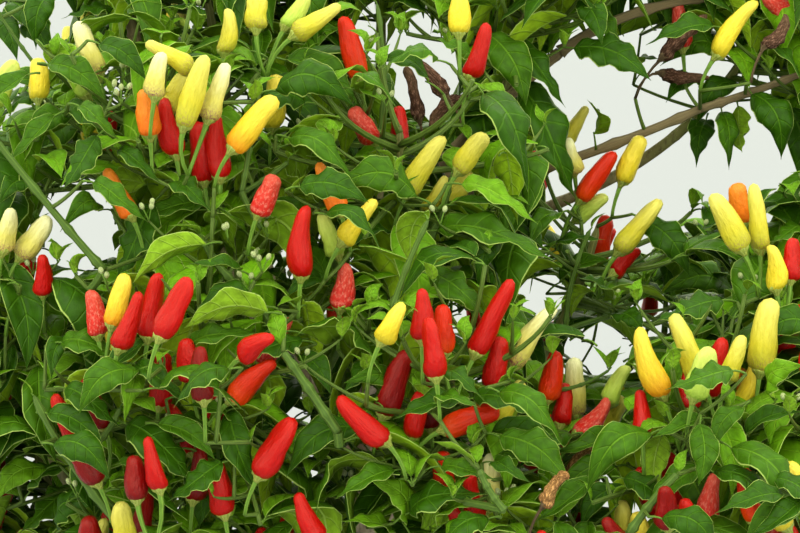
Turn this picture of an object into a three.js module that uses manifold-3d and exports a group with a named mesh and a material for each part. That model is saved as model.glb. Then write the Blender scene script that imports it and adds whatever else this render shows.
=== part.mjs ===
// A chilli pepper plant: a bushy, woody-footed pepper about 0.9 m tall, rooted in the ground.
// Millimetres, +Z up. The origin is the middle of the flat cut under the trunk, at ground level.
// The best side of the plant faces -Y. Every limb is one tapering solid, and every mass of
// foliage is one solid: a stem, twigs that rise from it, leaves, and upright pods at the tips.
import * as THREE from "three";
import { mergeVertices } from "three/addons/utils/BufferGeometryUtils.js";
import Module from "manifold-3d";

const wasm = await Module();
wasm.setup();

// Clear space between pieces that meet, the size under which faces are merged, and how near two
// corners are for them to be one.
const GAP = 0.3;
const FINEST = 0.05;
const SAME_CORNER = 1e-3;

// Trunk: its height to the fork, its radii, and how far its top leans from its foot.
const TRUNK_HEIGHT = 165;
const TRUNK_FOOT_RADIUS = 19;
const TRUNK_RADIUS = 12.5;
const TRUNK_TOP_RADIUS = 9.5;
const FLARE_HEIGHT = 30;
const TRUNK_LEAN = [-14, 8];
const TRUNK_SIDES = 12;
const TRUNK_STEPS = 8;
// The flare's roots swell it this much at three places round the foot.
const ROOT_COUNT = 3;
const ROOT_SWELL = 0.16;
// The trunk is made this far into the ground and cut level with it.
const CUT_DEPTH = 4;

// Boughs: radius at the tip, how round and how finely bent they are, and their share of the
// thickness of the limb that they leave. The leader goes straight on from the trunk.
const BOUGH_TIP_RADIUS = 4.2;
const BOUGH_LEAST_TAPER = 0.8;
const BOUGH_SIDES = 6;
const BOUGH_STEPS = 4;
const BOUGH_SHARE = 0.73;
const LEADER_SHARE = 0.96;
// A bough leaves outwards, turns up, and stops this share of its mass's radius from the middle.
const BOUGH_SPREAD = 0.35;
const BOUGH_RISE = 0.35;
const BOUGH_PULL = [0.33, 0.26];
const BOUGH_STOP = 0.62;
// The share of a bough after which it is at its tip.
const BOUGH_END = 0.97;

// Foliage: the stem in a mass, its twigs, and the spacing of their tips.
const STEM_SIDES = 4;
const STEM_STEPS = 3;
const STEM_TOP_RADIUS = 3.6;
const STEM_RISE = 0.25;
const STEM_BEND = 0.5;
const TWIG_SIDES = 3;
const TWIG_FOOT_RADIUS = 2.6;
const TWIG_TIP_RADIUS = 2.2;
const TWIG_STEPS = 2;
const TIPS_PER_MASS = 5;
const TIPS_BESIDE_TRUSSES = 3;
// Tips are tried over the whole round of the mass, at points far from each other in turn.
const TIP_TRIES = 61;
const TIP_STRIDE = 23;
// Tips keep to the side of a mass that faces out of the crown, down to this much behind.
const TIP_BEHIND = -0.3;
const CROWN_MIDDLE = 480;
const TIP_REACH = [0.7, 0.82];
const TIP_SPACING = 64;
const GOLDEN_ANGLE = 2.399963;
// Where a twig leaves the stem: from this share of its length, by how high its tip is. A twig
// that doesn't fit leaves lower or higher by one of the shifts.
const TWIG_FOOT = [0.35, 0.95];
const TWIG_LOWEST_FOOT = 0.12;
const TWIG_FULL_RISE = 160;
const TWIG_SHIFTS = [0, -0.15, -0.3, -0.5, 0.15];
// A twig's bend is this far out and this far up.
const TWIG_BEND_OUT = 0.72;
const TWIG_BEND_UP = 0.34;

// Leaves stand for a small spray each, so they are larger than the 70 mm leaves of the plant,
// and wider. Their sizes and droops are spread between two limits.
const LEAF_LENGTH = 118;
const LEAF_WIDTH = 80;
const LEAF_THICKNESS = 1.4;
const LEAF_FOLD = 0.09;
const LEAF_WIDEST = 0.42;
const LEAF_SIZES = [0.9, 1.15];
const LEAF_DROOPS = [0.3, 1.35];
// Roots of leaves are this far apart down the twig, the first one this far below its tip.
const ROOT_SPACING = 13;
const FIRST_ROOT = 3;
// The outer share of a twig that bears leaves.
const LEAFY_SHARE = 0.7;
// How near its root a leaf may touch what is fused already.
const ROOT_REACH = 5;
// A leaf that doesn't fit is turned by so many radians, or is smaller.
const SWINGS = [
  [0, 1], [0.6, 1], [-0.6, 1], [1.2, 1], [-1.2, 1], [1.9, 1], [-1.9, 1], [2.6, 1], [-2.6, 1],
  [0, 0.75], [0.7, 0.75], [-0.7, 0.75], [1.5, 0.75], [-1.5, 0.75], [2.4, 0.75], [-2.4, 0.75],
];

// Pods stand upright on stalks. They are widest near the stalk, and their ends are blunt.
const POD_LENGTH = 44;
const POD_RADIUS = 7.2;
const POD_WIDEST = 0.22;
const POD_END_RADIUS = 4.5;
const POD_END = 6;
const POD_SHOULDER = 3;
const POD_SIDES = 5;
const STALK_LENGTH = 24;
const STALK_RADIUS = 0.95;
// The first stalk's foot is this far below the twig's tip, and the next one's is further down.
const POD_FOOT = 2.5;
const POD_SPACING = 5;
// Leans in radians forwards and back, tried in turn, and the widest lean to a side in degrees.
const POD_NODS = [-0.1, 0.15, -0.35, 0.4, -0.5];
const POD_LEAN = 30;
// Share of the tips that carry a pod where no truss is named.
const PODDED_TIPS = 0.3;

// Masses of foliage: middle (across, deep, up), radius, the limb that its bough leaves, and
// how far along that limb, from 0 at its foot to 1 at its tip.
const MASSES = [
  { name: "top_centre", at: [-15, 35, 800], radius: 138, from: "trunk", along: 1 },
  { name: "left_side", at: [-325, 15, 545], radius: 142, from: "trunk", along: 0.72 },
  { name: "front_left", at: [-135, -285, 525], radius: 138, from: "trunk", along: 0.9 },
  { name: "front_centre", at: [35, -300, 500], radius: 135, from: "trunk", along: 0.66 },
  { name: "front_right", at: [205, -285, 465], radius: 138, from: "trunk", along: 0.84 },
  { name: "right_side", at: [350, 55, 475], radius: 142, from: "trunk", along: 0.74 },
  { name: "back_centre", at: [20, 235, 610], radius: 142, from: "trunk", along: 0.94 },
  { name: "top_left", at: [-150, -35, 765], radius: 138, from: "top_centre", along: 0.4 },
  { name: "top_right", at: [290, -5, 735], radius: 135, from: "top_centre", along: 0.7 },
  { name: "front_centre_high", at: [0, -215, 655], radius: 132, from: "top_centre", along: 0.5 },
  { name: "front_left_high", at: [-180, -210, 665], radius: 135, from: "top_left", along: 0.45 },
  { name: "back_left_high", at: [-185, 185, 640], radius: 142, from: "top_left", along: 0.25 },
  { name: "centre_right", at: [150, -65, 570], radius: 112, from: "top_centre", along: 0.32 },
  { name: "centre_high", at: [95, -70, 745], radius: 115, from: "top_centre", along: 0.6 },
  { name: "back_right", at: [230, 225, 440], radius: 138, from: "right_side", along: 0.34 },
  { name: "back_low", at: [25, 240, 400], radius: 134, from: "back_centre", along: 0.3 },
  { name: "left_front", at: [-285, -195, 525], radius: 138, from: "left_side", along: 0.55 },
  { name: "left_low", at: [-285, -45, 395], radius: 138, from: "left_side", along: 0.36 },
  { name: "back_left_low", at: [-180, 205, 430], radius: 140, from: "left_side", along: 0.24 },
  { name: "front_left_low", at: [-140, -255, 385], radius: 134, from: "front_left", along: 0.42 },
  { name: "front_right_low", at: [95, -265, 370], radius: 134, from: "front_right", along: 0.36 },
  { name: "right_front", at: [325, -160, 545], radius: 136, from: "right_side", along: 0.52 },
];

// Openings without leaves that run through the crown along the line of the best view: where one
// is at the front, and half its width and height there. They widen towards the back.
const VIEW_FRONT = -300;
const VIEW_POINT = [0, -2181.5, 864.4];
const OPENINGS = [
  { across: 160, up: 716, halfWidth: 72, halfHeight: 36 },
  { across: 146, up: 650, halfWidth: 48, halfHeight: 42 },
  { across: 226, up: 679, halfWidth: 42, halfHeight: 30 },
  { across: -216, up: 628, halfWidth: 22, halfHeight: 30 },
  { across: 18, up: 727, halfWidth: 20, halfHeight: 28 },
];

// Trusses of pods on the best side: the node that the stalks rise from, and each pod's lean to
// the right in degrees.
const TRUSSES = [
  { at: [-148, -300, 652], leans: [-22, 4] },
  { at: [-126, -305, 634], leans: [-6, 30] },
  { at: [-232, -238, 696], leans: [-16, 2] },
  { at: [-260, -280, 584], leans: [-2, 30] },
  { at: [-98, -228, 726], leans: [-4, 40] },
  { at: [-26, -215, 706], leans: [-13] },
  { at: [-68, -330, 574], leans: [10] },
  { at: [-42, -285, 578], leans: [-20] },
  { at: [-188, -342, 526], leans: [-12, 18] },
  { at: [-124, -345, 494], leans: [-6, 50] },
  { at: [18, -340, 512], leans: [-8, 4] },
  { at: [8, -375, 466], leans: [12, -48] },
  { at: [-92, -370, 438], leans: [32] },
  { at: [62, -330, 514], leans: [6, 32] },
  { at: [114, -268, 474], leans: [0, 26] },
  { at: [188, -332, 488], leans: [-18, 4] },
  { at: [226, -326, 496], leans: [-2, 17] },
  { at: [236, -280, 578], leans: [-30, -5] },
  { at: [158, -120, 566], leans: [38] },
  { at: [136, -85, 604], leans: [35] },
  { at: [26, -245, 632], leans: [24, 36] },
  { at: [48, -200, 704], leans: [15] },
];

const BARK = { color: 0x8a7350, roughness: 0.9, metalness: 0 };
const FOLIAGE = { color: 0x2f6b2a, roughness: 0.5, metalness: 0 };

const UP = new THREE.Vector3(0, 0, 1);
const vec = (p) => new THREE.Vector3(...p);
const between = ([low, high], share) => low + (high - low) * share;

// An even scatter of numbers from 0 to 1, the same for the same three keys.
function scatter(a, b, c) {
  const x = Math.sin(a * 12.9898 + b * 78.233 + c * 37.719) * 43758.5453;
  return x - Math.floor(x);
}

// A closed three.js geometry as a solid. Faces that a pole has shut are dropped.
function solidOf(geometry) {
  const bare = geometry.clone();
  bare.deleteAttribute("normal");
  bare.deleteAttribute("uv");
  const merged = mergeVertices(bare, SAME_CORNER);
  const faces = [];
  for (let i = 0; i < merged.index.count; i += 3) {
    const face = [0, 1, 2].map((k) => merged.index.getX(i + k));
    if (new Set(face).size === 3) faces.push(...face);
  }
  const solid = new wasm.Manifold(new wasm.Mesh({
    numProp: 3,
    vertProperties: new Float32Array(merged.attributes.position.array),
    triVerts: new Uint32Array(faces),
  }));
  if (solid.volume() < 0) throw new Error("a shape is inside out");
  return solid;
}

// The largest piece of a solid, with what fusing left sealed inside or loose beside it dropped.
function largest(solid) {
  const pieces = solid.decompose();
  return pieces.reduce((best, piece) => (piece.volume() > best.volume() ? piece : best));
}

// A tapering limb along a curve. radiusAt gives its radius from 0 at the foot to 1 at the tip.
function limb(curve, radiusAt, sides, steps, grow = 0) {
  const geometry = new THREE.CylinderGeometry(1, 1, 1, sides, steps);
  const frames = curve.computeFrenetFrames(steps, false);
  const position = geometry.attributes.position;
  for (let i = 0; i < position.count; i++) {
    const step = Math.round((position.getY(i) + 0.5) * steps);
    const centre = curve.getPointAt(step / steps);
    const angle = Math.atan2(position.getX(i), position.getZ(i));
    const radius = radiusAt(step / steps, angle) + grow;
    centre.addScaledVector(frames.normals[step], position.getZ(i) * radius);
    centre.addScaledVector(frames.binormals[step], position.getX(i) * radius);
    position.setXYZ(i, centre.x, centre.y, centre.z);
  }
  return solidOf(geometry);
}

const taper = (foot, tip) => (t) => between([foot, tip], t);

// The limbs by name: curve, radius rule, and solid. Each keeps clear of those made before it.
const limbs = new Map();

function addTrunk() {
  const curve = new THREE.QuadraticBezierCurve3(
    new THREE.Vector3(0, 0, -CUT_DEPTH),
    new THREE.Vector3(0, 0, TRUNK_HEIGHT / 2),
    new THREE.Vector3(...TRUNK_LEAN, TRUNK_HEIGHT),
  );
  const radiusAt = (t, angle = 0) => {
    const flare = Math.max(0, 1 - (t * TRUNK_HEIGHT - CUT_DEPTH) / FLARE_HEIGHT) ** 2;
    const swell = 1 + ROOT_SWELL * Math.min(flare, 1) * Math.cos(ROOT_COUNT * angle);
    const round = between([TRUNK_RADIUS, TRUNK_TOP_RADIUS], t);
    return (round + (TRUNK_FOOT_RADIUS - TRUNK_RADIUS) * flare) * swell;
  };
  const solid = limb(curve, radiusAt, TRUNK_SIDES, TRUNK_STEPS).trimByPlane([0, 0, 1], 0);
  limbs.set("trunk", { curve, radiusAt, solid, sides: TRUNK_SIDES, steps: TRUNK_STEPS });
}

// The bough that carries a mass: from its parent's middle line to where it enters the mass.
function boughCurve(mass) {
  const parent = limbs.get(mass.from);
  const middle = vec(mass.at);
  const foot = parent.curve.getPointAt(mass.along);
  const parentWay = parent.curve.getTangentAt(mass.along);
  const isLeader = mass.along === 1;
  if (isLeader) foot.addScaledVector(parentWay, GAP);
  const straight = middle.clone().sub(foot);
  const distance = straight.length();
  const outward = new THREE.Vector3(straight.x, straight.y, 0).normalize();
  const onward = straight.clone().normalize();
  const entryWay = onward.clone().addScaledVector(UP, BOUGH_RISE).normalize();
  const entry = middle.clone().addScaledVector(entryWay, -BOUGH_STOP * mass.radius);
  const leave = isLeader ? parentWay : onward.addScaledVector(outward, BOUGH_SPREAD).normalize();
  return new THREE.CubicBezierCurve3(
    foot,
    foot.clone().addScaledVector(leave, BOUGH_PULL[0] * distance),
    entry.clone().addScaledVector(entryWay, -BOUGH_PULL[1] * distance),
    entry,
  );
}

function addBough(mass) {
  const parent = limbs.get(mass.from);
  const curve = boughCurve(mass);
  const share = mass.along === 1 ? LEADER_SHARE : BOUGH_SHARE;
  const footRadius = Math.max(share * parent.radiusAt(mass.along), BOUGH_TIP_RADIUS + BOUGH_LEAST_TAPER);
  const radiusAt = taper(footRadius, BOUGH_TIP_RADIUS);
  let solid = limb(curve, radiusAt, BOUGH_SIDES, BOUGH_STEPS);
  for (const other of limbs.values()) {
    const grown = limb(other.curve, other.radiusAt, other.sides, other.steps, GAP);
    if (!solid.intersect(grown).isEmpty()) solid = largest(solid.subtract(grown));
  }
  const end = new THREE.LineCurve3(curve.getPointAt(BOUGH_END), curve.v3);
  const tip = limb(end, taper(1, 1), STEM_SIDES, 1);
  if (solid.intersect(tip).isEmpty()) throw new Error(mass.name + " has a bough that is cut through");
  limbs.set(mass.name, { curve, radiusAt, solid, sides: BOUGH_SIDES, steps: BOUGH_STEPS });
}

// Whether a point is in an opening, seen along the line of the best view.
function inOpening(point) {
  const eye = vec(VIEW_POINT);
  const scale = (VIEW_FRONT - eye.y) / (point.y - eye.y);
  const across = eye.x + (point.x - eye.x) * scale;
  const up = eye.z + (point.z - eye.z) * scale;
  return OPENINGS.some(
    (o) => ((across - o.across) / o.halfWidth) ** 2 + ((up - o.up) / o.halfHeight) ** 2 < 1,
  );
}

// Whether a point is in a mass's own space: inside its round, and nearer its middle than any
// other mass's, with a gap between neighbours.
function isOwn(mass, point) {
  if (point.distanceTo(vec(mass.at)) > mass.radius) return false;
  return MASSES.every((other) => {
    if (other === mass) return true;
    const way = vec(other.at).sub(vec(mass.at));
    const border = vec(other.at).add(vec(mass.at)).multiplyScalar(0.5);
    return point.clone().sub(border).dot(way) < -GAP * way.length();
  });
}

function nearestMass(point) {
  const reach = (mass) => point.distanceTo(vec(mass.at));
  return MASSES.reduce((best, mass) => (reach(mass) < reach(best) ? mass : best));
}

// The tips that a mass's twigs grow to: its named trusses first, then points of an even spiral.
function tipsOf(mass, index) {
  const middle = vec(mass.at);
  const outward = new THREE.Vector3(middle.x, middle.y, middle.z - CROWN_MIDDLE).normalize();
  const tips = TRUSSES.filter((truss) => nearestMass(vec(truss.at)) === mass)
    .map((truss) => ({ point: vec(truss.at), leans: truss.leans }));
  const wanted = Math.max(TIPS_PER_MASS, tips.length + TIPS_BESIDE_TRUSSES);
  for (let n = 0; n < TIP_TRIES && tips.length < wanted; n++) {
    const k = (n * TIP_STRIDE) % TIP_TRIES;
    const height = 1 - (2 * (k + 0.5)) / TIP_TRIES;
    const level = Math.sqrt(1 - height * height);
    const turn = GOLDEN_ANGLE * k + index;
    const way = new THREE.Vector3(level * Math.cos(turn), level * Math.sin(turn), height);
    if (way.dot(outward) < TIP_BEHIND) continue;
    const reach = mass.radius * between(TIP_REACH, scatter(index, k, 1));
    const point = middle.clone().addScaledVector(way, reach);
    if (!isOwn(mass, point) || inOpening(point)) continue;
    if (tips.some((tip) => tip.point.distanceTo(point) < TIP_SPACING)) continue;
    const podded = scatter(index, k, 2) < PODDED_TIPS;
    tips.push({ point, leans: podded ? [between([-POD_LEAN, POD_LEAN], scatter(index, k, 3))] : [] });
  }
  return tips;
}

// A twig leaves the stem outwards and turns up towards its tip.
function twigCurve(stem, tip, shift) {
  const rise = THREE.MathUtils.clamp((tip.z - stem.v0.z) / TWIG_FULL_RISE, 0, 1);
  const along = between(TWIG_FOOT, rise) + shift;
  const foot = stem.getPointAt(THREE.MathUtils.clamp(along, TWIG_LOWEST_FOOT, TWIG_FOOT[1]));
  const bend = foot.clone().lerp(tip, TWIG_BEND_OUT);
  bend.z = between([foot.z, tip.z], TWIG_BEND_UP);
  return new THREE.QuadraticBezierCurve3(foot, bend, tip);
}

const twigOf = (curve) => limb(curve, taper(TWIG_FOOT_RADIUS, TWIG_TIP_RADIUS), TWIG_SIDES, TWIG_STEPS);

// A point on the middle line of a twig as it is built, in straight steps, so far below its tip.
function axisPoint(curve, below) {
  const along = (1 - below / curve.getLength()) * TWIG_STEPS;
  const step = Math.min(Math.floor(along), TWIG_STEPS - 1);
  const [low, high] = [step, step + 1].map((n) => curve.getPointAt(n / TWIG_STEPS));
  return low.lerp(high, along - step);
}

// A leaf from its root, towards way, folded along its rib. The octahedron's x runs to the tip,
// y from edge to edge and z through the leaf. Its root is as thick as its middle.
function leaf(root, way, size) {
  const length = LEAF_LENGTH * size;
  const side = new THREE.Vector3().crossVectors(UP, way).normalize();
  const face = new THREE.Vector3().crossVectors(way, side).normalize();
  const geometry = new THREE.OctahedronGeometry(1, 0);
  const position = geometry.attributes.position;
  for (let i = 0; i < position.count; i++) {
    const [x, y, z] = [position.getX(i), position.getY(i), position.getZ(i)];
    let [share, lift] = [LEAF_WIDEST, LEAF_THICKNESS / 2];
    if (Math.abs(y) > 0.5) lift = LEAF_FOLD * length;
    if (x > 0.5) [share, lift] = [1, 0];
    if (x < -0.5) share = 0;
    if (z < -0.5) [share, lift] = [0, -LEAF_THICKNESS / 2];
    const point = root.clone()
      .addScaledVector(way, share * length)
      .addScaledVector(side, (y * LEAF_WIDTH * size) / 2)
      .addScaledVector(face, lift);
    position.setXYZ(i, point.x, point.y, point.z);
  }
  return solidOf(geometry);
}

// A pod with its stalk, standing on a node, leaning to the right in degrees and nodding back.
function pod(node, lean, nod) {
  const tip = STALK_LENGTH + POD_LENGTH;
  const profile = [
    new THREE.Vector2(0, 0),
    new THREE.Vector2(STALK_RADIUS, 0),
    new THREE.Vector2(STALK_RADIUS, STALK_LENGTH - POD_SHOULDER),
    new THREE.Vector2(POD_RADIUS, STALK_LENGTH + POD_LENGTH * POD_WIDEST),
    new THREE.Vector2(POD_END_RADIUS, tip - POD_END),
    new THREE.Vector2(0, tip),
  ];
  const geometry = new THREE.LatheGeometry(profile, POD_SIDES);
  geometry.rotateX(Math.PI / 2 + nod);
  geometry.rotateY(THREE.MathUtils.degToRad(lean));
  geometry.translate(node.x, node.y, node.z);
  return solidOf(geometry);
}

// The geometry of a solid, and all its corners.
function geometryOf(solid) {
  const mesh = solid.getMesh();
  const geometry = new THREE.BufferGeometry();
  geometry.setAttribute("position", new THREE.BufferAttribute(mesh.vertProperties, mesh.numProp));
  geometry.setIndex(new THREE.BufferAttribute(mesh.triVerts, 1));
  return geometry;
}

function corners(solid) {
  const position = geometryOf(solid).attributes.position;
  const places = Array.from({ length: position.count }, (_, i) => i);
  return places.map((i) => new THREE.Vector3().fromBufferAttribute(position, i));
}

// The stem of a mass: from its bough's tip, a gap clear of it, to above the mass's middle.
function stemCurve(mass) {
  const bough = limbs.get(mass.name).curve;
  const way = bough.getTangentAt(1);
  const foot = bough.v3.clone().addScaledVector(way, GAP);
  const head = vec(mass.at).addScaledVector(UP, STEM_RISE * mass.radius);
  const bend = foot.clone().addScaledVector(way, STEM_BEND * foot.distanceTo(head));
  return new THREE.QuadraticBezierCurve3(foot, bend, head);
}

// One mass of foliage: stem, twigs, pods and leaves, fused in that order. What would leave the
// mass's own space, touch a limb or cut through what is there already is left out.
function foliage(mass, index, limbSpace) {
  const stem = stemCurve(mass);
  let fused = limb(stem, taper(BOUGH_TIP_RADIUS, STEM_TOP_RADIUS), STEM_SIDES, STEM_STEPS);
  const fits = (solid) =>
    corners(solid).every((point) => isOwn(mass, point)) && solid.intersect(limbSpace).isEmpty();
  const isClear = (root, solid) =>
    corners(solid.intersect(fused)).every((point) => point.distanceTo(root) < ROOT_REACH);

  const tips = [];
  for (const tip of tipsOf(mass, index)) {
    const curves = TWIG_SHIFTS.map((shift) => twigCurve(stem, tip.point, shift));
    const curve = curves.find((way) => fits(twigOf(way)));
    if (!curve) continue;
    fused = fused.add(twigOf(curve));
    tips.push({ leans: tip.leans, curve });
  }

  for (const tip of tips) {
    tip.leans.forEach((lean, n) => {
      const node = axisPoint(tip.curve, POD_FOOT + POD_SPACING * n);
      const pods = POD_NODS.map((nod) => pod(node, lean, nod));
      const fruit = pods.find((one) => fits(one) && isClear(node, one));
      if (fruit) fused = fused.add(fruit);
    });
  }

  // Leaves are dealt to places down the twigs, each place turned on from the last.
  let turned = 0;
  for (const tip of tips) {
    const way = tip.curve.getTangentAt(1);
    const reach = LEAFY_SHARE * tip.curve.getLength();
    const first = FIRST_ROOT + POD_SPACING * tip.leans.length;
    for (let below = first; below < reach; below += ROOT_SPACING) {
      const root = axisPoint(tip.curve, below);
      const heading = Math.atan2(way.y, way.x) + GOLDEN_ANGLE * turned;
      const droop = between(LEAF_DROOPS, scatter(index, turned, 20));
      const size = between(LEAF_SIZES, scatter(index, turned, 30));
      turned++;
      const blades = SWINGS.map(([swing, share]) => {
        const turn = heading + swing;
        const lead = new THREE.Vector3(Math.cos(turn), Math.sin(turn), -Math.tan(droop)).normalize();
        return leaf(root, lead, size * share);
      });
      const blade = blades.find(
        (one) => !corners(one).some(inOpening) && fits(one) && isClear(root, one),
      );
      if (blade) fused = fused.add(blade);
    }
  }
  return largest(fused).simplify(FINEST);
}

// A named mesh of a solid, in a place of its own.
function meshOf(name, solid, look, place) {
  const geometry = geometryOf(solid).translate(-place.x, -place.y, -place.z);
  geometry.computeVertexNormals();
  const mesh = new THREE.Mesh(geometry, new THREE.MeshStandardMaterial(look));
  mesh.name = name;
  mesh.position.copy(place);
  return mesh;
}

addTrunk();
MASSES.forEach(addBough);
const limbSpace = wasm.Manifold.union(
  [...limbs.values()].map(({ curve, radiusAt, sides, steps }) => limb(curve, radiusAt, sides, steps, GAP)),
);

const framework = new THREE.Group();
framework.add(meshOf("trunk", limbs.get("trunk").solid, BARK, vec([0, 0, 0])));
const crown = new THREE.Group();
MASSES.forEach((mass, index) => {
  const bough = limbs.get(mass.name);
  framework.add(meshOf("bough_" + mass.name, bough.solid, BARK, bough.curve.v0));
  crown.add(meshOf("foliage_" + mass.name, foliage(mass, index, limbSpace), FOLIAGE, vec(mass.at)));
});

const plant = new THREE.Group();
plant.name = "chilli_pepper_plant";
plant.add(framework, crown);
export default plant;
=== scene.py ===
# %% [markdown]
# # A chilli pepper plant in fruit
# A pepper of several years has a woody foot and boughs, green twigs that fork again and again,
# thin drooping leaves with pale wavy margins, and blunt pods that stand upright above them in
# every shade from cream to red. The plain solids already say how far each mass of foliage
# reaches. This lesson dresses them: bark on the limbs, then twigs, leaves and pods that grow on
# from the same boughs by the same rule.

# %% The frame of plain solids
import itertools
import math

import bmesh
import bpy
import numpy as np
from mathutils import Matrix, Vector, noise


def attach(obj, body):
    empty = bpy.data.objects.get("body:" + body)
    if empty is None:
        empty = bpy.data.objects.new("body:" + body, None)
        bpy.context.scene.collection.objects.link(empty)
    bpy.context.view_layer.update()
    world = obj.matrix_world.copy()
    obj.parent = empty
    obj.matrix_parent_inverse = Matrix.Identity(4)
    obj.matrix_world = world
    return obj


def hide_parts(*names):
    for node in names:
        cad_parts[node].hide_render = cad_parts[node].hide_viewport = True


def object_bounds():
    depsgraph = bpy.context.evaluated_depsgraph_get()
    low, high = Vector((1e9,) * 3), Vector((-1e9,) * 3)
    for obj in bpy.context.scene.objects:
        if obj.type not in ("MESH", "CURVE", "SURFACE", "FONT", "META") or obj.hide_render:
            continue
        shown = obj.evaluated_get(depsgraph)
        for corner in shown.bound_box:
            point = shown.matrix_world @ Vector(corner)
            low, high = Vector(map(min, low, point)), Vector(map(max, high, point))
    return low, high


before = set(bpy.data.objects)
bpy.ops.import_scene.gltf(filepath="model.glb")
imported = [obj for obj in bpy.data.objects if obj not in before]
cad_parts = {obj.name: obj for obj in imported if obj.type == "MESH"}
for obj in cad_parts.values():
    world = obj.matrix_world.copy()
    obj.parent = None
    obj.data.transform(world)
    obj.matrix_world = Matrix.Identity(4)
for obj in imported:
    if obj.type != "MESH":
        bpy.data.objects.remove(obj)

CAD_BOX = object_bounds()
MM = 0.001
UP = np.array([0.0, 0.0, 1.0])
print("solids", len(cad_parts), "box", [round(x, 3) for p in CAD_BOX for x in p])

# %% [markdown]
# ## The camera
# The photograph looks a little down on the bush from about two metres away. The camera could be
# set by eye, but a few lines that turn a place in the picture into a place in space, and back,
# are worth more: a pod or a leaf seen in the photograph can then be put where it was seen.

# %% Camera
IMAGE_WIDTH = 800
IMAGE_HEIGHT = 533
SENSOR_WIDTH = 36
PIXELS_PER_MM = 1.48
VIEW_DISTANCE = 1900
VIEW_DOWN = math.radians(8)
VIEW_TARGET = np.array([0.0, -300.0, 600.0])
VIEW_AHEAD = np.array([0.0, math.cos(VIEW_DOWN), -math.sin(VIEW_DOWN)])
VIEW_RIGHT = np.array([1.0, 0.0, 0.0])
VIEW_UP = np.cross(VIEW_RIGHT, VIEW_AHEAD)
EYE = VIEW_TARGET - VIEW_AHEAD * VIEW_DISTANCE
FOCAL_PIXELS = PIXELS_PER_MM * VIEW_DISTANCE


def to_photo(points):
    """Where points in mm are in the picture, in pixels, and how far from the camera."""
    way = np.atleast_2d(points) - EYE
    away = way @ VIEW_AHEAD
    across = IMAGE_WIDTH / 2 + FOCAL_PIXELS * (way @ VIEW_RIGHT) / away
    down = IMAGE_HEIGHT / 2 - FOCAL_PIXELS * (way @ VIEW_UP) / away
    return across, down, away


def from_photo(pixel, deep):
    """The point in mm that a pixel shows at the depth y = deep."""
    ray = VIEW_AHEAD + (pixel[0] - IMAGE_WIDTH / 2) / FOCAL_PIXELS * VIEW_RIGHT
    ray = ray + (IMAGE_HEIGHT / 2 - pixel[1]) / FOCAL_PIXELS * VIEW_UP
    return EYE + ray * (deep - EYE[1]) / ray[1]


camera_data = bpy.data.cameras.new("camera")
camera_data.sensor_width = SENSOR_WIDTH
camera_data.lens = SENSOR_WIDTH * FOCAL_PIXELS / IMAGE_WIDTH
camera = bpy.data.objects.new("camera", camera_data)
camera.location = Vector(EYE * MM)
camera.rotation_euler = Vector(VIEW_AHEAD).to_track_quat("-Z", "Y").to_euler()
bpy.context.scene.collection.objects.link(camera)
bpy.context.scene.camera = camera
print("lens", round(camera_data.lens, 1), "mm")

# %% [markdown]
# ## Shader maths as plain sums
# Vein patterns and mottles are sums of a few sockets. A small class lets them be written as
# sums: each operator adds its Math node, and one method makes every other node.

# %% A wire, and a finish to draw it in
UV_NAME = "OFBake"


class Wire:
    """A socket of a finish. Sums on wires add Math nodes."""

    def __init__(self, finish, socket):
        self.finish = finish
        self.socket = socket

    def math(self, operation, *values):
        return self.finish.node("ShaderNodeMath", {"operation": operation}, dict(enumerate(values)))

    def __add__(self, other):
        return self.math("ADD", self, other)

    def __sub__(self, other):
        return self.math("SUBTRACT", self, other)

    def __rsub__(self, other):
        return self.math("SUBTRACT", other, self)

    def __mul__(self, other):
        return self.math("MULTIPLY", self, other)

    def __abs__(self):
        return self.math("ABSOLUTE", self)

    __radd__ = __add__
    __rmul__ = __mul__

    def fraction(self):
        return self.math("FRACT", self)

    def ramp_up(self, low, high):
        """0 below low, 1 above high, smooth between."""
        settings = {"interpolation_type": "SMOOTHSTEP"}
        return self.finish.node("ShaderNodeMapRange", settings, {"Value": self, 1: low, 2: high})


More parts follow.
